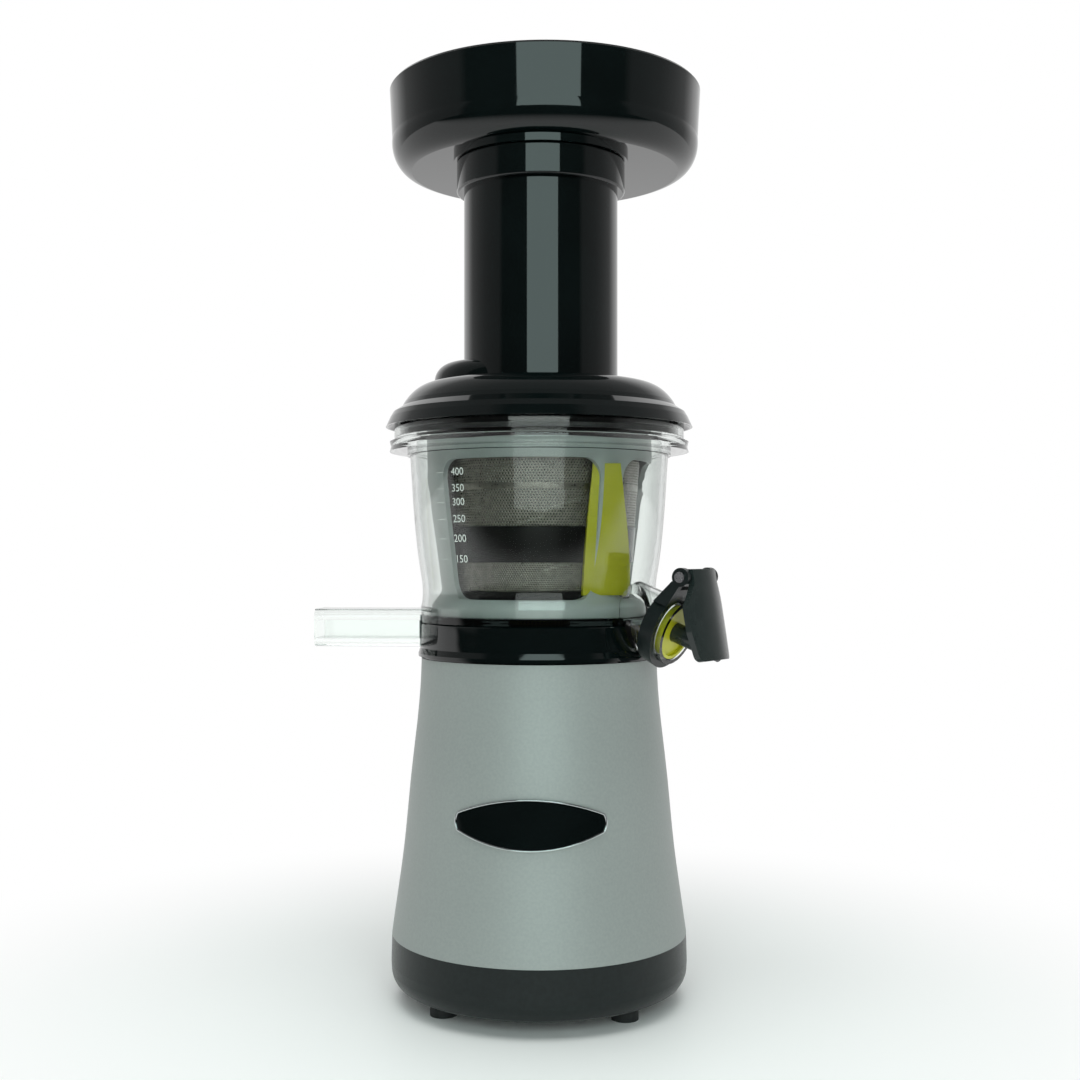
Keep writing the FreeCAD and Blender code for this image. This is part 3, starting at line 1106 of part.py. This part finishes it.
def build():
    nodes = {}
    for number, foot in enumerate(feet(), 1):
        nodes[f"foot_{number}"] = foot
    nodes["bottom_plate"] = bottom_plate()
    nodes["bottom_screws"] = bottom_screws()
    nodes["base_skirt"] = base_skirt()
    nodes["cord_gland"] = cord_gland()
    nodes["base_shell"] = base_shell()
    nodes["badge_plate"], nodes["badge_rim"] = badge_pieces()
    nodes["dock_ring"] = dock_ring()
    nodes["deck_screws"] = deck_screws()
    nodes["switch_bezel"] = switch_bezel()
    nodes["switch_rocker"] = switch_rocker()
    nodes["circuit_board"] = circuit_board()
    nodes["capacitor"] = capacitor()
    nodes["motor_stator"] = motor_stator()
    nodes["motor_windings"] = motor_windings()
    nodes["lower_bracket"] = lower_bracket()
    nodes["upper_bracket"] = upper_bracket()
    nodes["lower_bearing"] = motor_bearing(LOWER_BRACKET_LOW + 1.5)
    nodes["upper_bearing"] = motor_bearing(COVER_LOW - BEARING_T - 1.5)
    nodes["motor_bolts"] = motor_bolts()
    nodes["rotor_core"] = rotor_core()
    nodes["rotor_shaft"] = rotor_shaft()
    nodes["fan"] = fan()
    nodes["motor_pinion"] = motor_pinion()
    nodes["gearbox_cover"] = gearbox_cover()
    nodes["gearbox_housing"] = gearbox_housing()
    nodes["gearbox_screws"] = gearbox_screws()
    nodes["countershaft"] = countershaft()
    nodes["countershaft_bushes"] = countershaft_bushes()
    nodes["first_wheel"] = first_wheel()
    nodes["second_pinion"] = second_pinion()
    nodes["output_wheel"] = output_wheel()
    nodes["drive_shaft"] = drive_shaft()
    nodes["output_bearing"] = output_bearing()
    nodes["shaft_seal"] = shaft_seal()
    nodes["juicing_bowl"] = juicing_bowl()
    nodes["bowl_seal"] = bowl_seal()
    nodes["pulp_plug"] = pulp_plug()
    nodes["idler_pin"] = idler_pin()
    nodes["idler_gear"] = idler_gear()
    wipers = [wiper(turn) for turn in (0.0, 180.0)]
    nodes["wiper_1"], nodes["wiper_2"] = wipers
    nodes["brush_frame"] = brush_frame(wipers)
    nodes["strainer_frame"] = strainer_frame()
    nodes["upper_screen"] = screen(UPPER_SCREEN)
    nodes["lower_screen"] = screen(LOWER_SCREEN)
    nodes["auger"] = auger()
    nodes["tap_collar"] = tap_collar()
    nodes["tap_pin"] = tap_pin()
    nodes["tap_flap"] = tap_flap()
    nodes["tap_plug"] = tap_plug()
    nodes["lid"] = lid()
    nodes["auger_bush"] = auger_bush()
    nodes["lid_seal"] = lid_seal()
    nodes["feed_chute"] = feed_chute()
    nodes["feed_tray"] = feed_tray()
    return nodes


def main():
    for name, shape in build().items():
        placed = moved(shape, AXIS_X, AXIS_Y)
        solids = placed.Solids
        result = solids[0] if len(solids) == 1 else Part.makeCompound(solids)
        print(f"{name}: {len(solids)} solids, valid {result.isValid()}, volume {result.Volume:.0f} mm3")
        result.exportStep(f"parts/{name}.step")


main()
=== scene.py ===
import json
import math

import bpy
from mathutils import Matrix, Vector

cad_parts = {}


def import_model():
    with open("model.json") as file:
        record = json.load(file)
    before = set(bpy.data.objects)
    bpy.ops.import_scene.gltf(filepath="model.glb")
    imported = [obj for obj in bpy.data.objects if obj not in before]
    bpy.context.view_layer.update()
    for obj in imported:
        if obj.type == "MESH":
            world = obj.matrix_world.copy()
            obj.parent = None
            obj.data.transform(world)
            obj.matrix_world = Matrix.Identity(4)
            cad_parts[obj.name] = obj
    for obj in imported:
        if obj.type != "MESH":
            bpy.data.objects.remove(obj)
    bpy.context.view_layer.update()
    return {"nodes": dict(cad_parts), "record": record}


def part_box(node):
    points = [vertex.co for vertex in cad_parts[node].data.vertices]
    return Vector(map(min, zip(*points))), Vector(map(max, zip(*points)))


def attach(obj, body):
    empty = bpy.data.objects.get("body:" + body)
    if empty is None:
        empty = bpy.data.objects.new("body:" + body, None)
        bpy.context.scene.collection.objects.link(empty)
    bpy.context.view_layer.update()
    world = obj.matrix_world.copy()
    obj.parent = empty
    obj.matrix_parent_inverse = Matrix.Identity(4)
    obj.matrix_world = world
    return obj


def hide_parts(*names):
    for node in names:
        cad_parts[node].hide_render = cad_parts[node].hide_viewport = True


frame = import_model()
NODES = frame["nodes"]
MM = 0.001

# The photograph's camera, fitted to its ellipses: focal length and principal point in its pixels.
PHOTO_SIDE_PX = 1080.0
FOCAL_PX = 1443.0
CENTRE_X_PX = 539.2
CENTRE_Y_PX = 554.0
CAMERA_DISTANCE = 615.0 * MM
CAMERA_HEIGHT = 187.3 * MM
CAMERA_AZIMUTH = math.radians(4.0)
SENSOR = 36.0
NEAREST_SEEN = 10.0 * MM

VIEW_LINE = Vector((-math.sin(CAMERA_AZIMUTH), math.cos(CAMERA_AZIMUTH), 0.0))

shell_low, shell_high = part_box("base_shell")
AXIS = Vector(((shell_low.x + shell_high.x) / 2, (shell_low.y + shell_high.y) / 2, 0.0))


def on_axis(radius, azimuth, height):
    """A point at a radius in mm and an azimuth in degrees from the front toward +X, at a height in mm."""
    angle = math.radians(azimuth)
    return AXIS + Vector((math.sin(angle), -math.cos(angle), 0)) * radius * MM + Vector((0, 0, height * MM))


def radius_on(outline, height):
    """The radius of an outline of (radius, height) points at a height, all in mm."""
    for (r0, z0), (r1, z1) in zip(outline, outline[1:]):
        if height <= z1:
            return r0 + (r1 - r0) * (height - z0) / (z1 - z0)
    return outline[-1][0]


# Nodes of a shader

def opaque(colour):
    return (*colour, 1.0)


def grey(level):
    return (level, level, level, 1.0)


def ranged(tree, source, start, end, low=0.0, high=1.0, smooth=False):
    """The source mapped from start..end to low..high, and held at low and high beyond them."""
    node = tree.nodes.new("ShaderNodeMapRange")
    if smooth:
        node.interpolation_type = "SMOOTHSTEP"
    node.inputs["From Min"].default_value = start
    node.inputs["From Max"].default_value = end
    node.inputs["To Min"].default_value = low
    node.inputs["To Max"].default_value = high
    tree.links.new(source, node.inputs["Value"])
    return node.outputs["Result"]


def both(tree, operation, first, second):
    node = tree.nodes.new("ShaderNodeMath")
    node.operation = operation
    tree.links.new(first, node.inputs[0])
    tree.links.new(second, node.inputs[1])
    return node.outputs["Value"]


def vector_math(tree, operation, source, other=None):
    node = tree.nodes.new("ShaderNodeVectorMath")
    node.operation = operation
    tree.links.new(source, node.inputs[0])
    if other is not None:
        node.inputs[1].default_value = other
    return node.outputs["Value" if operation in ("LENGTH", "DOT_PRODUCT") else "Vector"]


def colours_between(tree, source, start, first, end, second):
    ramp = tree.nodes.new("ShaderNodeValToRGB")
    low, high = ramp.color_ramp.elements
    low.position = start
    low.color = opaque(first)
    high.position = end
    high.color = opaque(second)
    tree.links.new(source, ramp.inputs["Fac"])
    return ramp.outputs["Color"]


# Materials

NOISE_LOW = 0.3
NOISE_HIGH = 0.7
COLOUR_LOW = 0.35
COLOUR_HIGH = 0.65
ROUGHNESS_SCALE = 2.3
GRAIN_SCALE = 12.0
GRAIN_DEPTH = 0.1 * MM


def principled(name, colour, roughness, metallic=0.0, **sockets):
    material = bpy.data.materials.new(name)
    material.use_nodes = True
    shader = material.node_tree.nodes["Principled BSDF"]
    shader.inputs["Base Color"].default_value = opaque(colour)
    shader.inputs["Roughness"].default_value = roughness
    shader.inputs["Metallic"].default_value = metallic
    for socket, value in sockets.items():
        shader.inputs[socket].default_value = value
    return material, shader


def noise(material, scale):
    tree = material.node_tree
    coordinates = tree.nodes.new("ShaderNodeTexCoord")
    node = tree.nodes.new("ShaderNodeTexNoise")
    node.inputs["Scale"].default_value = scale
    node.inputs["Detail"].default_value = 3.0
    tree.links.new(coordinates.outputs["Object"], node.inputs["Vector"])
    return node.outputs["Fac"]


def vary_roughness(material, shader, source, low, high):
    tree = material.node_tree
    tree.links.new(ranged(tree, source, NOISE_LOW, NOISE_HIGH, low, high), shader.inputs["Roughness"])


def vary_colour(material, shader, source, first, second):
    tree = material.node_tree
    colour = colours_between(tree, source, COLOUR_LOW, first, COLOUR_HIGH, second)
    tree.links.new(colour, shader.inputs["Base Color"])


def bump(material, shader, source, strength):
    tree = material.node_tree
    node = tree.nodes.new("ShaderNodeBump")
    node.inputs["Strength"].default_value = strength
    node.inputs["Distance"].default_value = GRAIN_DEPTH
    tree.links.new(source, node.inputs["Height"])
    tree.links.new(node.outputs["Normal"], shader.inputs["Normal"])


def plain(name, first, second, low, high, scale, metallic=0.0, grain=0.0, **sockets):
    """A material between two colours and two roughnesses, with a fine grain where one is given."""
    material, shader = principled(name, first, low, metallic, **sockets)
    vary_colour(material, shader, noise(material, scale), first, second)
    vary_roughness(material, shader, noise(material, scale * ROUGHNESS_SCALE), low, high)
    if grain:
        bump(material, shader, noise(material, scale * GRAIN_SCALE), grain)
    return material


CLEAR_TINT = (0.93, 0.965, 0.945)
# Painted shade: clear plastic is painted grey towards its grazing edges, standing in for the dark surroundings
# refracted there.
CLEAR_EDGE_PAINTED_SHADE = (0.16, 0.18, 0.175)
CLEAR_EDGE_FROM = 0.45
CLEAR_EDGE_TO = 0.95
CLEAR_IOR = 1.46
# Painted shade: the bowl's clear floor and foot are painted near black, as the black deck under them looks
# through the plastic.
FOOT_PAINTED_SHADE = (0.012, 0.018, 0.017)
FOOT_RADIUS = 50.6 * MM
FOOT_RADIUS_FADE = 0.4 * MM
FOOT_TOP = 161.4 * MM
FOOT_TOP_FADE = 0.8 * MM


def clear_of_foot(tree):
    """0 in the bowl's floor and foot, which lie on the black deck and get painted shade as black as it, and 1
    elsewhere.
    """
    coordinates = tree.nodes.new("ShaderNodeTexCoord")
    from_axis = vector_math(tree, "SUBTRACT", coordinates.outputs["Object"], AXIS)
    flat = vector_math(tree, "MULTIPLY", from_axis, (1.0, 1.0, 0.0))
    radius = vector_math(tree, "LENGTH", flat)
    parts = tree.nodes.new("ShaderNodeSeparateXYZ")
    tree.links.new(from_axis, parts.inputs["Vector"])
    outside = ranged(tree, radius, FOOT_RADIUS, FOOT_RADIUS + FOOT_RADIUS_FADE)
    above = ranged(tree, parts.outputs["Z"], FOOT_TOP, FOOT_TOP + FOOT_TOP_FADE)
    return both(tree, "MAXIMUM", outside, above)


def clear_plastic():
    """Clear moulded plastic: barely tinted, with painted shade that darkens its edges to the grey outline they
    have on a white ground, where dark surroundings are refracted, and painted shade on its floor and foot.
    """
    material, shader = principled("clear_plastic", CLEAR_TINT, 0.03)
    shader.inputs["Transmission Weight"].default_value = 1.0
    shader.inputs["IOR"].default_value = CLEAR_IOR
    vary_roughness(material, shader, noise(material, 60.0), 0.01, 0.04)
    tree = material.node_tree
    # Painted shade: the colour below runs from the clear tint to a painted grey at grazing edges.
    weight = tree.nodes.new("ShaderNodeLayerWeight")
    tint = colours_between(tree, weight.outputs["Facing"], CLEAR_EDGE_FROM, CLEAR_TINT,
                           CLEAR_EDGE_TO, CLEAR_EDGE_PAINTED_SHADE)
    # Painted shade: the bowl's floor and foot are mixed to near black here.
    mix = tree.nodes.new("ShaderNodeMix")
    mix.data_type = "RGBA"
    mix.inputs[6].default_value = opaque(FOOT_PAINTED_SHADE)
    tree.links.new(clear_of_foot(tree), mix.inputs["Factor"])
    tree.links.new(tint, mix.inputs[7])
    tree.links.new(mix.outputs[2], shader.inputs["Base Color"])
    return material


MATERIALS = {
    "silver_paint": plain("silver_paint", (0.325, 0.355, 0.342), (0.305, 0.335, 0.322), 0.44, 0.50, 900.0,
                          metallic=0.35, grain=0.05),
    "gloss_black": plain("gloss_black", (0.0015, 0.003, 0.003), (0.002, 0.004, 0.004), 0.03, 0.06, 40.0),
    "matte_black": plain("matte_black", (0.005, 0.008, 0.008), (0.007, 0.011, 0.011), 0.28, 0.36, 500.0,
                         grain=0.15, **{"Specular IOR Level": 0.3}),
    "strainer_black": plain("strainer_black", (0.003, 0.004, 0.003), (0.005, 0.006, 0.005), 0.18, 0.26,
                            300.0, **{"Specular IOR Level": 0.25}),
    "auger_black": plain("auger_black", (0.010, 0.011, 0.010), (0.014, 0.015, 0.013), 0.35, 0.45, 200.0),
    "flap_grey": plain("flap_grey", (0.011, 0.017, 0.016), (0.015, 0.021, 0.020), 0.20, 0.26, 250.0,
                       grain=0.05),
    "milky_plastic": plain("milky_plastic", (0.42, 0.47, 0.45), (0.45, 0.50, 0.48), 0.32, 0.42, 120.0),
    "silicone_yellow": plain("silicone_yellow", (0.50, 0.49, 0.010), (0.54, 0.53, 0.014), 0.32, 0.42, 150.0),
    "screen_steel": plain("screen_steel", (0.17, 0.165, 0.14), (0.23, 0.22, 0.19), 0.26, 0.36, 400.0,
                          metallic=0.9),
    "clear_plastic": clear_plastic(),
    "chrome_trim": plain("chrome_trim", (0.62, 0.66, 0.66), (0.68, 0.72, 0.72), 0.08, 0.14, 80.0,
                         metallic=1.0),
    "rubber_foot": plain("rubber_foot", (0.010, 0.012, 0.012), (0.015, 0.017, 0.017), 0.6, 0.75, 300.0,
                         grain=0.2),
    "seal_rubber": plain("seal_rubber", (0.02, 0.02, 0.02), (0.03, 0.03, 0.03), 0.5, 0.6, 300.0),
    "screw_steel": plain("screw_steel", (0.5, 0.5, 0.5), (0.6, 0.6, 0.6), 0.25, 0.35, 300.0, metallic=1.0),
    "bearing_steel": plain("bearing_steel", (0.5, 0.5, 0.52), (0.6, 0.6, 0.62), 0.2, 0.3, 300.0,
                           metallic=1.0),
    "dark_steel": plain("dark_steel", (0.12, 0.12, 0.13), (0.18, 0.18, 0.19), 0.4, 0.5, 300.0, metallic=1.0),
    "cast_alloy": plain("cast_alloy", (0.45, 0.45, 0.47), (0.55, 0.55, 0.57), 0.4, 0.5, 200.0, metallic=1.0),
    "copper": plain("copper", (0.45, 0.16, 0.06), (0.55, 0.2, 0.08), 0.3, 0.4, 300.0, metallic=0.9),
    "bronze": plain("bronze", (0.4, 0.26, 0.1), (0.5, 0.33, 0.14), 0.3, 0.4, 300.0, metallic=1.0),
    "board_green": plain("board_green", (0.01, 0.10, 0.03), (0.015, 0.13, 0.04), 0.3, 0.4, 300.0),
    "gear_plastic": plain("gear_plastic", (0.55, 0.55, 0.50), (0.62, 0.62, 0.57), 0.4, 0.5, 200.0),
}


# The CAD nodes

SMOOTH_ANGLE = math.radians(28.0)

for entry in frame["record"]["subparts"]:
    node = NODES[entry["node"]]
    node.data.materials.clear()
    node.data.materials.append(MATERIALS[entry["material_slot"]])
    for polygon in node.data.polygons:
        polygon.use_smooth = True
        polygon.material_index = 0
    node.data.set_sharp_from_angle(angle=SMOOTH_ANGLE)


def new_piece(name, vertices, faces, body, slot, smooth=True):
    mesh = bpy.data.meshes.new(name)
    mesh.from_pydata([tuple(v) for v in vertices], [], faces)
    mesh.update()
    piece = bpy.data.objects.new(name, mesh)
    bpy.context.scene.collection.objects.link(piece)
    mesh.materials.append(MATERIALS[slot])
    for polygon in mesh.polygons:
        polygon.use_smooth = smooth
    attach(piece, body)
    return piece


# The perforated screens, in mm

STRAINER_REF_Z = 172.0
STRAINER_REF_R = 38.4
STRAINER_SLOPE = 0.0802
SCREEN_INSET = 0.1
SCREEN_THICKNESS = 0.35
ROOT_3 = math.sqrt(3)


def strainer_radius(height):
    return STRAINER_REF_R + STRAINER_SLOPE * (height - STRAINER_REF_Z)


def perforated_screen(name, node, pitch, hole, solid_bands):
    """A conical sheet of staggered hexagonal cells with a hole in each, but none in the solid bands."""
    low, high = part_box(node)
    low_z = low.z / MM
    high_z = high.z / MM
    around = 2 * round(math.pi * 2 * strainer_radius((low_z + high_z) / 2) / pitch / 2)
    rows = round((high_z - low_z) / (pitch * ROOT_3 / 2))
    row_height = (high_z - low_z) / rows
    vertices = []
    faces = []
    known = {}

    def shared_vertex(cells, height):
        """The vertex at a number of cells round the sheet, the same one for all the cells that meet there."""
        height = min(max(height, low_z), high_z)
        key = (round(cells * 12) % (around * 12), round(height * 200))
        if key not in known:
            known[key] = len(vertices)
            vertices.append(on_axis(strainer_radius(height) - SCREEN_INSET, 360.0 * cells / around, height))
        return known[key]

    for row in range(rows):
        middle = low_z + (row + 0.5) * row_height
        shift = 0.5 * (row % 2)
        open_row = all(not (start < middle < end) for start, end in solid_bands)
        for column in range(around):
            centre = column + shift
            rim = []
            inner = []
            for corner in range(6):
                angle = math.radians(30 + 60 * corner)
                rim.append(shared_vertex(centre + math.cos(angle) / ROOT_3,
                                         middle + math.sin(angle) / ROOT_3 * row_height * 2 / ROOT_3))
                if open_row:
                    inner.append(len(vertices))
                    azimuth = 360.0 * (centre + math.cos(angle) * hole / pitch) / around
                    vertices.append(on_axis(strainer_radius(middle) - SCREEN_INSET, azimuth,
                                            middle + math.sin(angle) * hole))
            if not open_row:
                faces.append(rim)
                continue
            for corner in range(6):
                after = (corner + 1) % 6
                if rim[corner] != rim[after]:
                    faces.append((rim[corner], rim[after], inner[after], inner[corner]))
    sheet = new_piece(name, vertices, faces, "bowl", "screen_steel")
    thickness = sheet.modifiers.new("thickness", "SOLIDIFY")
    thickness.thickness = SCREEN_THICKNESS * MM
    thickness.offset = -1
    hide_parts(node)


perforated_screen("upper_perforation", "upper_screen", 1.25, 0.37, [(213.6, 215.6)])
perforated_screen("lower_perforation", "lower_screen", 1.0, 0.27, [])


# The badge's bright rim, rounded so that it catches the light from above and below, in mm

SHELL_OUTLINE = [(62.3, 27.8), (60.3, 42.0), (57.3, 63.7), (54.2, 95.2), (51.2, 121.7), (49.9, 143.6)]
BADGE_Z = 82.0
BADGE_HALF_WIDTH = 29.4
BADGE_HALF_HEIGHT = 10.2
BADGE_END_HALF = 3.6
BADGE_END_BULGE = 0.9
RIM_WIDTH = 0.9
RIM_PROUD = 0.7
RIM_HALF_DEPTH = 0.6
LONG_SIDE_STEPS = 60
END_STEPS = 12
STEPS_ROUND_RIM = 12


def bowed(first, last, bulge, steps):
    """Points on the arc from first to last whose middle stands bulge away, to the right of the way along."""
    chord = math.dist(first, last)
    radius = (chord * chord / 4 + bulge * bulge) / (2 * bulge)
    half = math.asin(chord / 2 / radius)
    middle = ((first[0] + last[0]) / 2, (first[1] + last[1]) / 2)
    along = ((last[0] - first[0]) / chord, (last[1] - first[1]) / chord)
    out = (along[1], -along[0])
    points = []
    for step in range(steps):
        angle = -half + 2 * half * step / steps
        run = radius * math.sin(angle)
        rise = radius * math.cos(angle) - (radius - bulge)
        points.append((middle[0] + along[0] * run + out[0] * rise,
                       middle[1] + along[1] * run + out[1] * rise))
    return points


def badge_outline():
    """The closed line of the rim's middle, as seen from the front."""
    half = BADGE_HALF_WIDTH - RIM_WIDTH / 2
    end = BADGE_END_HALF - RIM_WIDTH / 4
    rise = BADGE_HALF_HEIGHT - RIM_WIDTH / 2 - end
    points = bowed((-half, -end), (half, -end), rise, LONG_SIDE_STEPS)
    points += bowed((half, -end), (half, end), BADGE_END_BULGE, END_STEPS)
    points += bowed((half, end), (-half, end), rise, LONG_SIDE_STEPS)
    points += bowed((-half, end), (-half, -end), BADGE_END_BULGE, END_STEPS)
    return points


def badge_rim():
    outline = badge_outline()
    count = len(outline)
    vertices = []
    faces = []
    for k, (x, z) in enumerate(outline):
        before = outline[k - 1]
        after = outline[(k + 1) % count]
        length = math.dist(before, after)
        side = ((after[1] - before[1]) / length, -(after[0] - before[0]) / length)
        ring = k * STEPS_ROUND_RIM
        next_ring = (k + 1) % count * STEPS_ROUND_RIM
        for step in range(STEPS_ROUND_RIM):
            angle = 2 * math.pi * step / STEPS_ROUND_RIM
            across = math.cos(angle) * RIM_WIDTH / 2
            x_here = x + side[0] * across
            z_here = BADGE_Z + z + side[1] * across
            radius = radius_on(SHELL_OUTLINE, z_here) + RIM_PROUD + math.sin(angle) * RIM_HALF_DEPTH
            y_here = -math.sqrt(radius * radius - x_here * x_here)
            vertices.append(AXIS + Vector((x_here, y_here, z_here)) * MM)
            turn = (step + 1) % STEPS_ROUND_RIM
            faces.append((ring + step, ring + turn, next_ring + turn, next_ring + step))
    rim = new_piece("rounded_badge_rim", vertices, faces, "base", "chrome_trim")
    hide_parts("badge_rim")


badge_rim()


# Graduations on the clear bowl, in mm

BOWL_OUTLINE = [(50.2, 165.0), (49.5, 172.0), (50.9, 183.0), (52.2, 193.3), (53.5, 208.6), (54.8, 229.0)]
GRADUATION_AZIMUTH = -29.4
GRADUATION_HEIGHTS = [(400, 219.9), (350, 213.4), (300, 207.9), (250, 201.2), (200, 193.4), (150, 185.2)]
NUMBER_SIZE = 4.3
PRINT_GAP = 0.15
TICK_FROM = -15.5
TICK_TO = -10.5
TICK_HALF = 0.12
PRINT_COLOUR = (0.62, 0.66, 0.62)
PRINT_COLOUR_WORN = (0.55, 0.60, 0.56)


def print_material():
    material, shader = principled("print_white", PRINT_COLOUR, 0.4)
    vary_colour(material, shader, noise(material, 300.0), PRINT_COLOUR, PRINT_COLOUR_WORN)
    return material


PRINT = print_material()


def printed(name, points, faces, height):
    """A flat figure wrapped onto the bowl, from points to the right and above the graduation's place."""
    vertices = []
    for x, y in points:
        level = height + y
        radius = radius_on(BOWL_OUTLINE, level) + PRINT_GAP
        vertices.append(on_axis(radius, GRADUATION_AZIMUTH + math.degrees(x / radius), level))
    piece = new_piece(name, vertices, faces, "bowl", "clear_plastic", smooth=False)
    piece.data.materials[0] = PRINT


def graduation(number, height):
    text = bpy.data.curves.new(f"number_{number}", "FONT")
    text.body = str(number)
    text.size = NUMBER_SIZE
    text.align_x = "RIGHT"
    text.align_y = "CENTER"
    text.resolution_u = 3
    holder = bpy.data.objects.new(f"number_text_{number}", text)
    bpy.context.scene.collection.objects.link(holder)
    bpy.context.view_layer.update()
    flat = bpy.data.meshes.new_from_object(holder)
    points = [(v.co.x, v.co.y) for v in flat.vertices]
    faces = [tuple(p.vertices) for p in flat.polygons]
    bpy.data.objects.remove(holder)
    printed(f"graduation_{number}", points, faces, height)
    tick = [(TICK_FROM, -TICK_HALF), (TICK_TO, -TICK_HALF), (TICK_TO, TICK_HALF), (TICK_FROM, TICK_HALF)]
    printed(f"tick_{number}", tick, [(0, 1, 2, 3)], height)


for number, height in GRADUATION_HEIGHTS:
    graduation(number, height)


# Stage: floor, world and lights

FLOOR_RADIUS = 7.0
FLOOR_COLOUR = (0.93, 0.94, 0.93)
FLOOR_ROUGHNESS = 0.55
# The floor's shadow shows up to the first radius and has faded to white at the second.
SHADOW_RADIUS = 0.09
WHITE_RADIUS = 0.34
# Gloss and clear plastic see the floor white behind and beside the object and dark in front of it.
DARK_FROM = -0.9
DARK_TO = -0.2
DARK_LEVEL = 0.03


def floor_material():
    material = bpy.data.materials.new("floor_white")
    material.use_nodes = True
    tree = material.node_tree
    shader = tree.nodes["Principled BSDF"]
    shader.inputs["Base Color"].default_value = opaque(FLOOR_COLOUR)
    shader.inputs["Roughness"].default_value = FLOOR_ROUGHNESS
    glow = tree.nodes.new("ShaderNodeEmission")
    glow.inputs["Color"].default_value = grey(1.0)
    coordinates = tree.nodes.new("ShaderNodeTexCoord")
    from_object = coordinates.outputs["Object"]
    length = vector_math(tree, "LENGTH", from_object)
    fade = ranged(tree, length, SHADOW_RADIUS, WHITE_RADIUS, smooth=True)
    path = tree.nodes.new("ShaderNodeLightPath")
    bent = both(tree, "MAXIMUM", path.outputs["Is Glossy Ray"], path.outputs["Is Transmission Ray"])
    shown = both(tree, "MAXIMUM", bent, path.outputs["Is Camera Ray"])
    along = vector_math(tree, "DOT_PRODUCT", from_object, VIEW_LINE)
    depth = ranged(tree, along, DARK_FROM, DARK_TO, low=DARK_LEVEL, smooth=True)
    strength = both(tree, "MAXIMUM", path.outputs["Is Camera Ray"], depth)
    tree.links.new(strength, glow.inputs["Strength"])
    mix = tree.nodes.new("ShaderNodeMixShader")
    tree.links.new(both(tree, "MULTIPLY", fade, shown), mix.inputs["Fac"])
    tree.links.new(shader.outputs["BSDF"], mix.inputs[1])
    tree.links.new(glow.outputs["Emission"], mix.inputs[2])
    tree.links.new(mix.outputs["Shader"], tree.nodes["Material Output"].inputs["Surface"])
    return material


def floor():
    bpy.ops.mesh.primitive_circle_add(vertices=96, radius=FLOOR_RADIUS, fill_type="NGON",
                                      location=(AXIS.x, AXIS.y, 0.0))
    plane = bpy.context.object
    plane.name = "floor"
    plane.data.materials.append(floor_material())


# World brightness by direction: 0 is toward the camera of the photograph, 0.5 sideways, 1 away from it.
WORLD_LEVELS = [(0.0, 0.04), (0.24, 0.04), (0.29, 0.20), (0.5, 0.26), (0.76, 0.42), (0.87, 0.95), (1.0, 0.95)]


def world():
    """White for the camera; for the gloss, white behind the object, grey beside it and dark in front."""
    setting = bpy.data.worlds.new("studio")
    bpy.context.scene.world = setting
    setting.use_nodes = True
    tree = setting.node_tree
    coordinates = tree.nodes.new("ShaderNodeTexCoord")
    along = vector_math(tree, "DOT_PRODUCT", coordinates.outputs["Generated"], VIEW_LINE)
    fade = tree.nodes.new("ShaderNodeValToRGB")
    elements = fade.color_ramp.elements
    nearest, *between, farthest = WORLD_LEVELS
    for element, (place, light) in zip(elements, (nearest, farthest)):
        element.position = place
        element.color = grey(light)
    for place, light in between:
        elements.new(place).color = grey(light)
    tree.links.new(ranged(tree, along, -1.0, 1.0), fade.inputs["Fac"])
    path = tree.nodes.new("ShaderNodeLightPath")
    level = tree.nodes.new("ShaderNodeMix")
    level.data_type = "FLOAT"
    level.inputs[3].default_value = 1.0
    tree.links.new(path.outputs["Is Camera Ray"], level.inputs["Factor"])
    tree.links.new(fade.outputs["Color"], level.inputs[2])
    background = tree.nodes["Background"]
    background.inputs["Color"].default_value = grey(1.0)
    tree.links.new(level.outputs[0], background.inputs["Strength"])


def softbox(name, azimuth, height, distance, width, tall, power, aim, tint=(0.95, 1.0, 0.98), glossy=False):
    """An area light placed round the axis and aimed at a height on it, in mm; its own sides are in metres."""
    light = bpy.data.lights.new(name, "AREA")
    light.shape = "RECTANGLE"
    light.size = width
    light.size_y = tall
    light.energy = power
    light.color = tint
    holder = bpy.data.objects.new(name, light)
    bpy.context.scene.collection.objects.link(holder)
    holder.visible_glossy = glossy
    place = on_axis(distance, azimuth, height)
    holder.location = place
    target = AXIS + Vector((0, 0, aim * MM))
    holder.rotation_euler = (target - place).to_track_quat("-Z", "Y").to_euler()


def camera():
    data = bpy.data.cameras.new("camera")
    data.sensor_width = SENSOR
    data.lens = FOCAL_PX / PHOTO_SIDE_PX * SENSOR
    data.shift_x = -(CENTRE_X_PX - PHOTO_SIDE_PX / 2) / PHOTO_SIDE_PX
    data.shift_y = (CENTRE_Y_PX - PHOTO_SIDE_PX / 2) / PHOTO_SIDE_PX
    data.clip_start = NEAREST_SEEN
    holder = bpy.data.objects.new("camera", data)
    bpy.context.scene.collection.objects.link(holder)
    place = AXIS - VIEW_LINE * CAMERA_DISTANCE + Vector((0, 0, CAMERA_HEIGHT))
    turn = Matrix.Rotation(CAMERA_AZIMUTH, 4, "Z") @ Matrix.Rotation(math.pi / 2, 4, "X")
    holder.matrix_world = Matrix.Translation(place) @ turn
    bpy.context.scene.camera = holder


floor()
world()
softbox("front_box", azimuth=6.5, height=790.0, distance=1500.0, width=1.25, tall=0.78, power=8.0, aim=790.0,
        tint=(0.78, 1.0, 0.97), glossy=True)
softbox("top_box", azimuth=0.0, height=1500.0, distance=300.0, width=1.2, tall=1.2, power=14.0, aim=100.0)
softbox("front_fill", azimuth=4.0, height=500.0, distance=1600.0, width=1.4, tall=1.2, power=12.0, aim=200.0)
camera()

bpy.context.scene.view_settings.view_transform = "Standard"
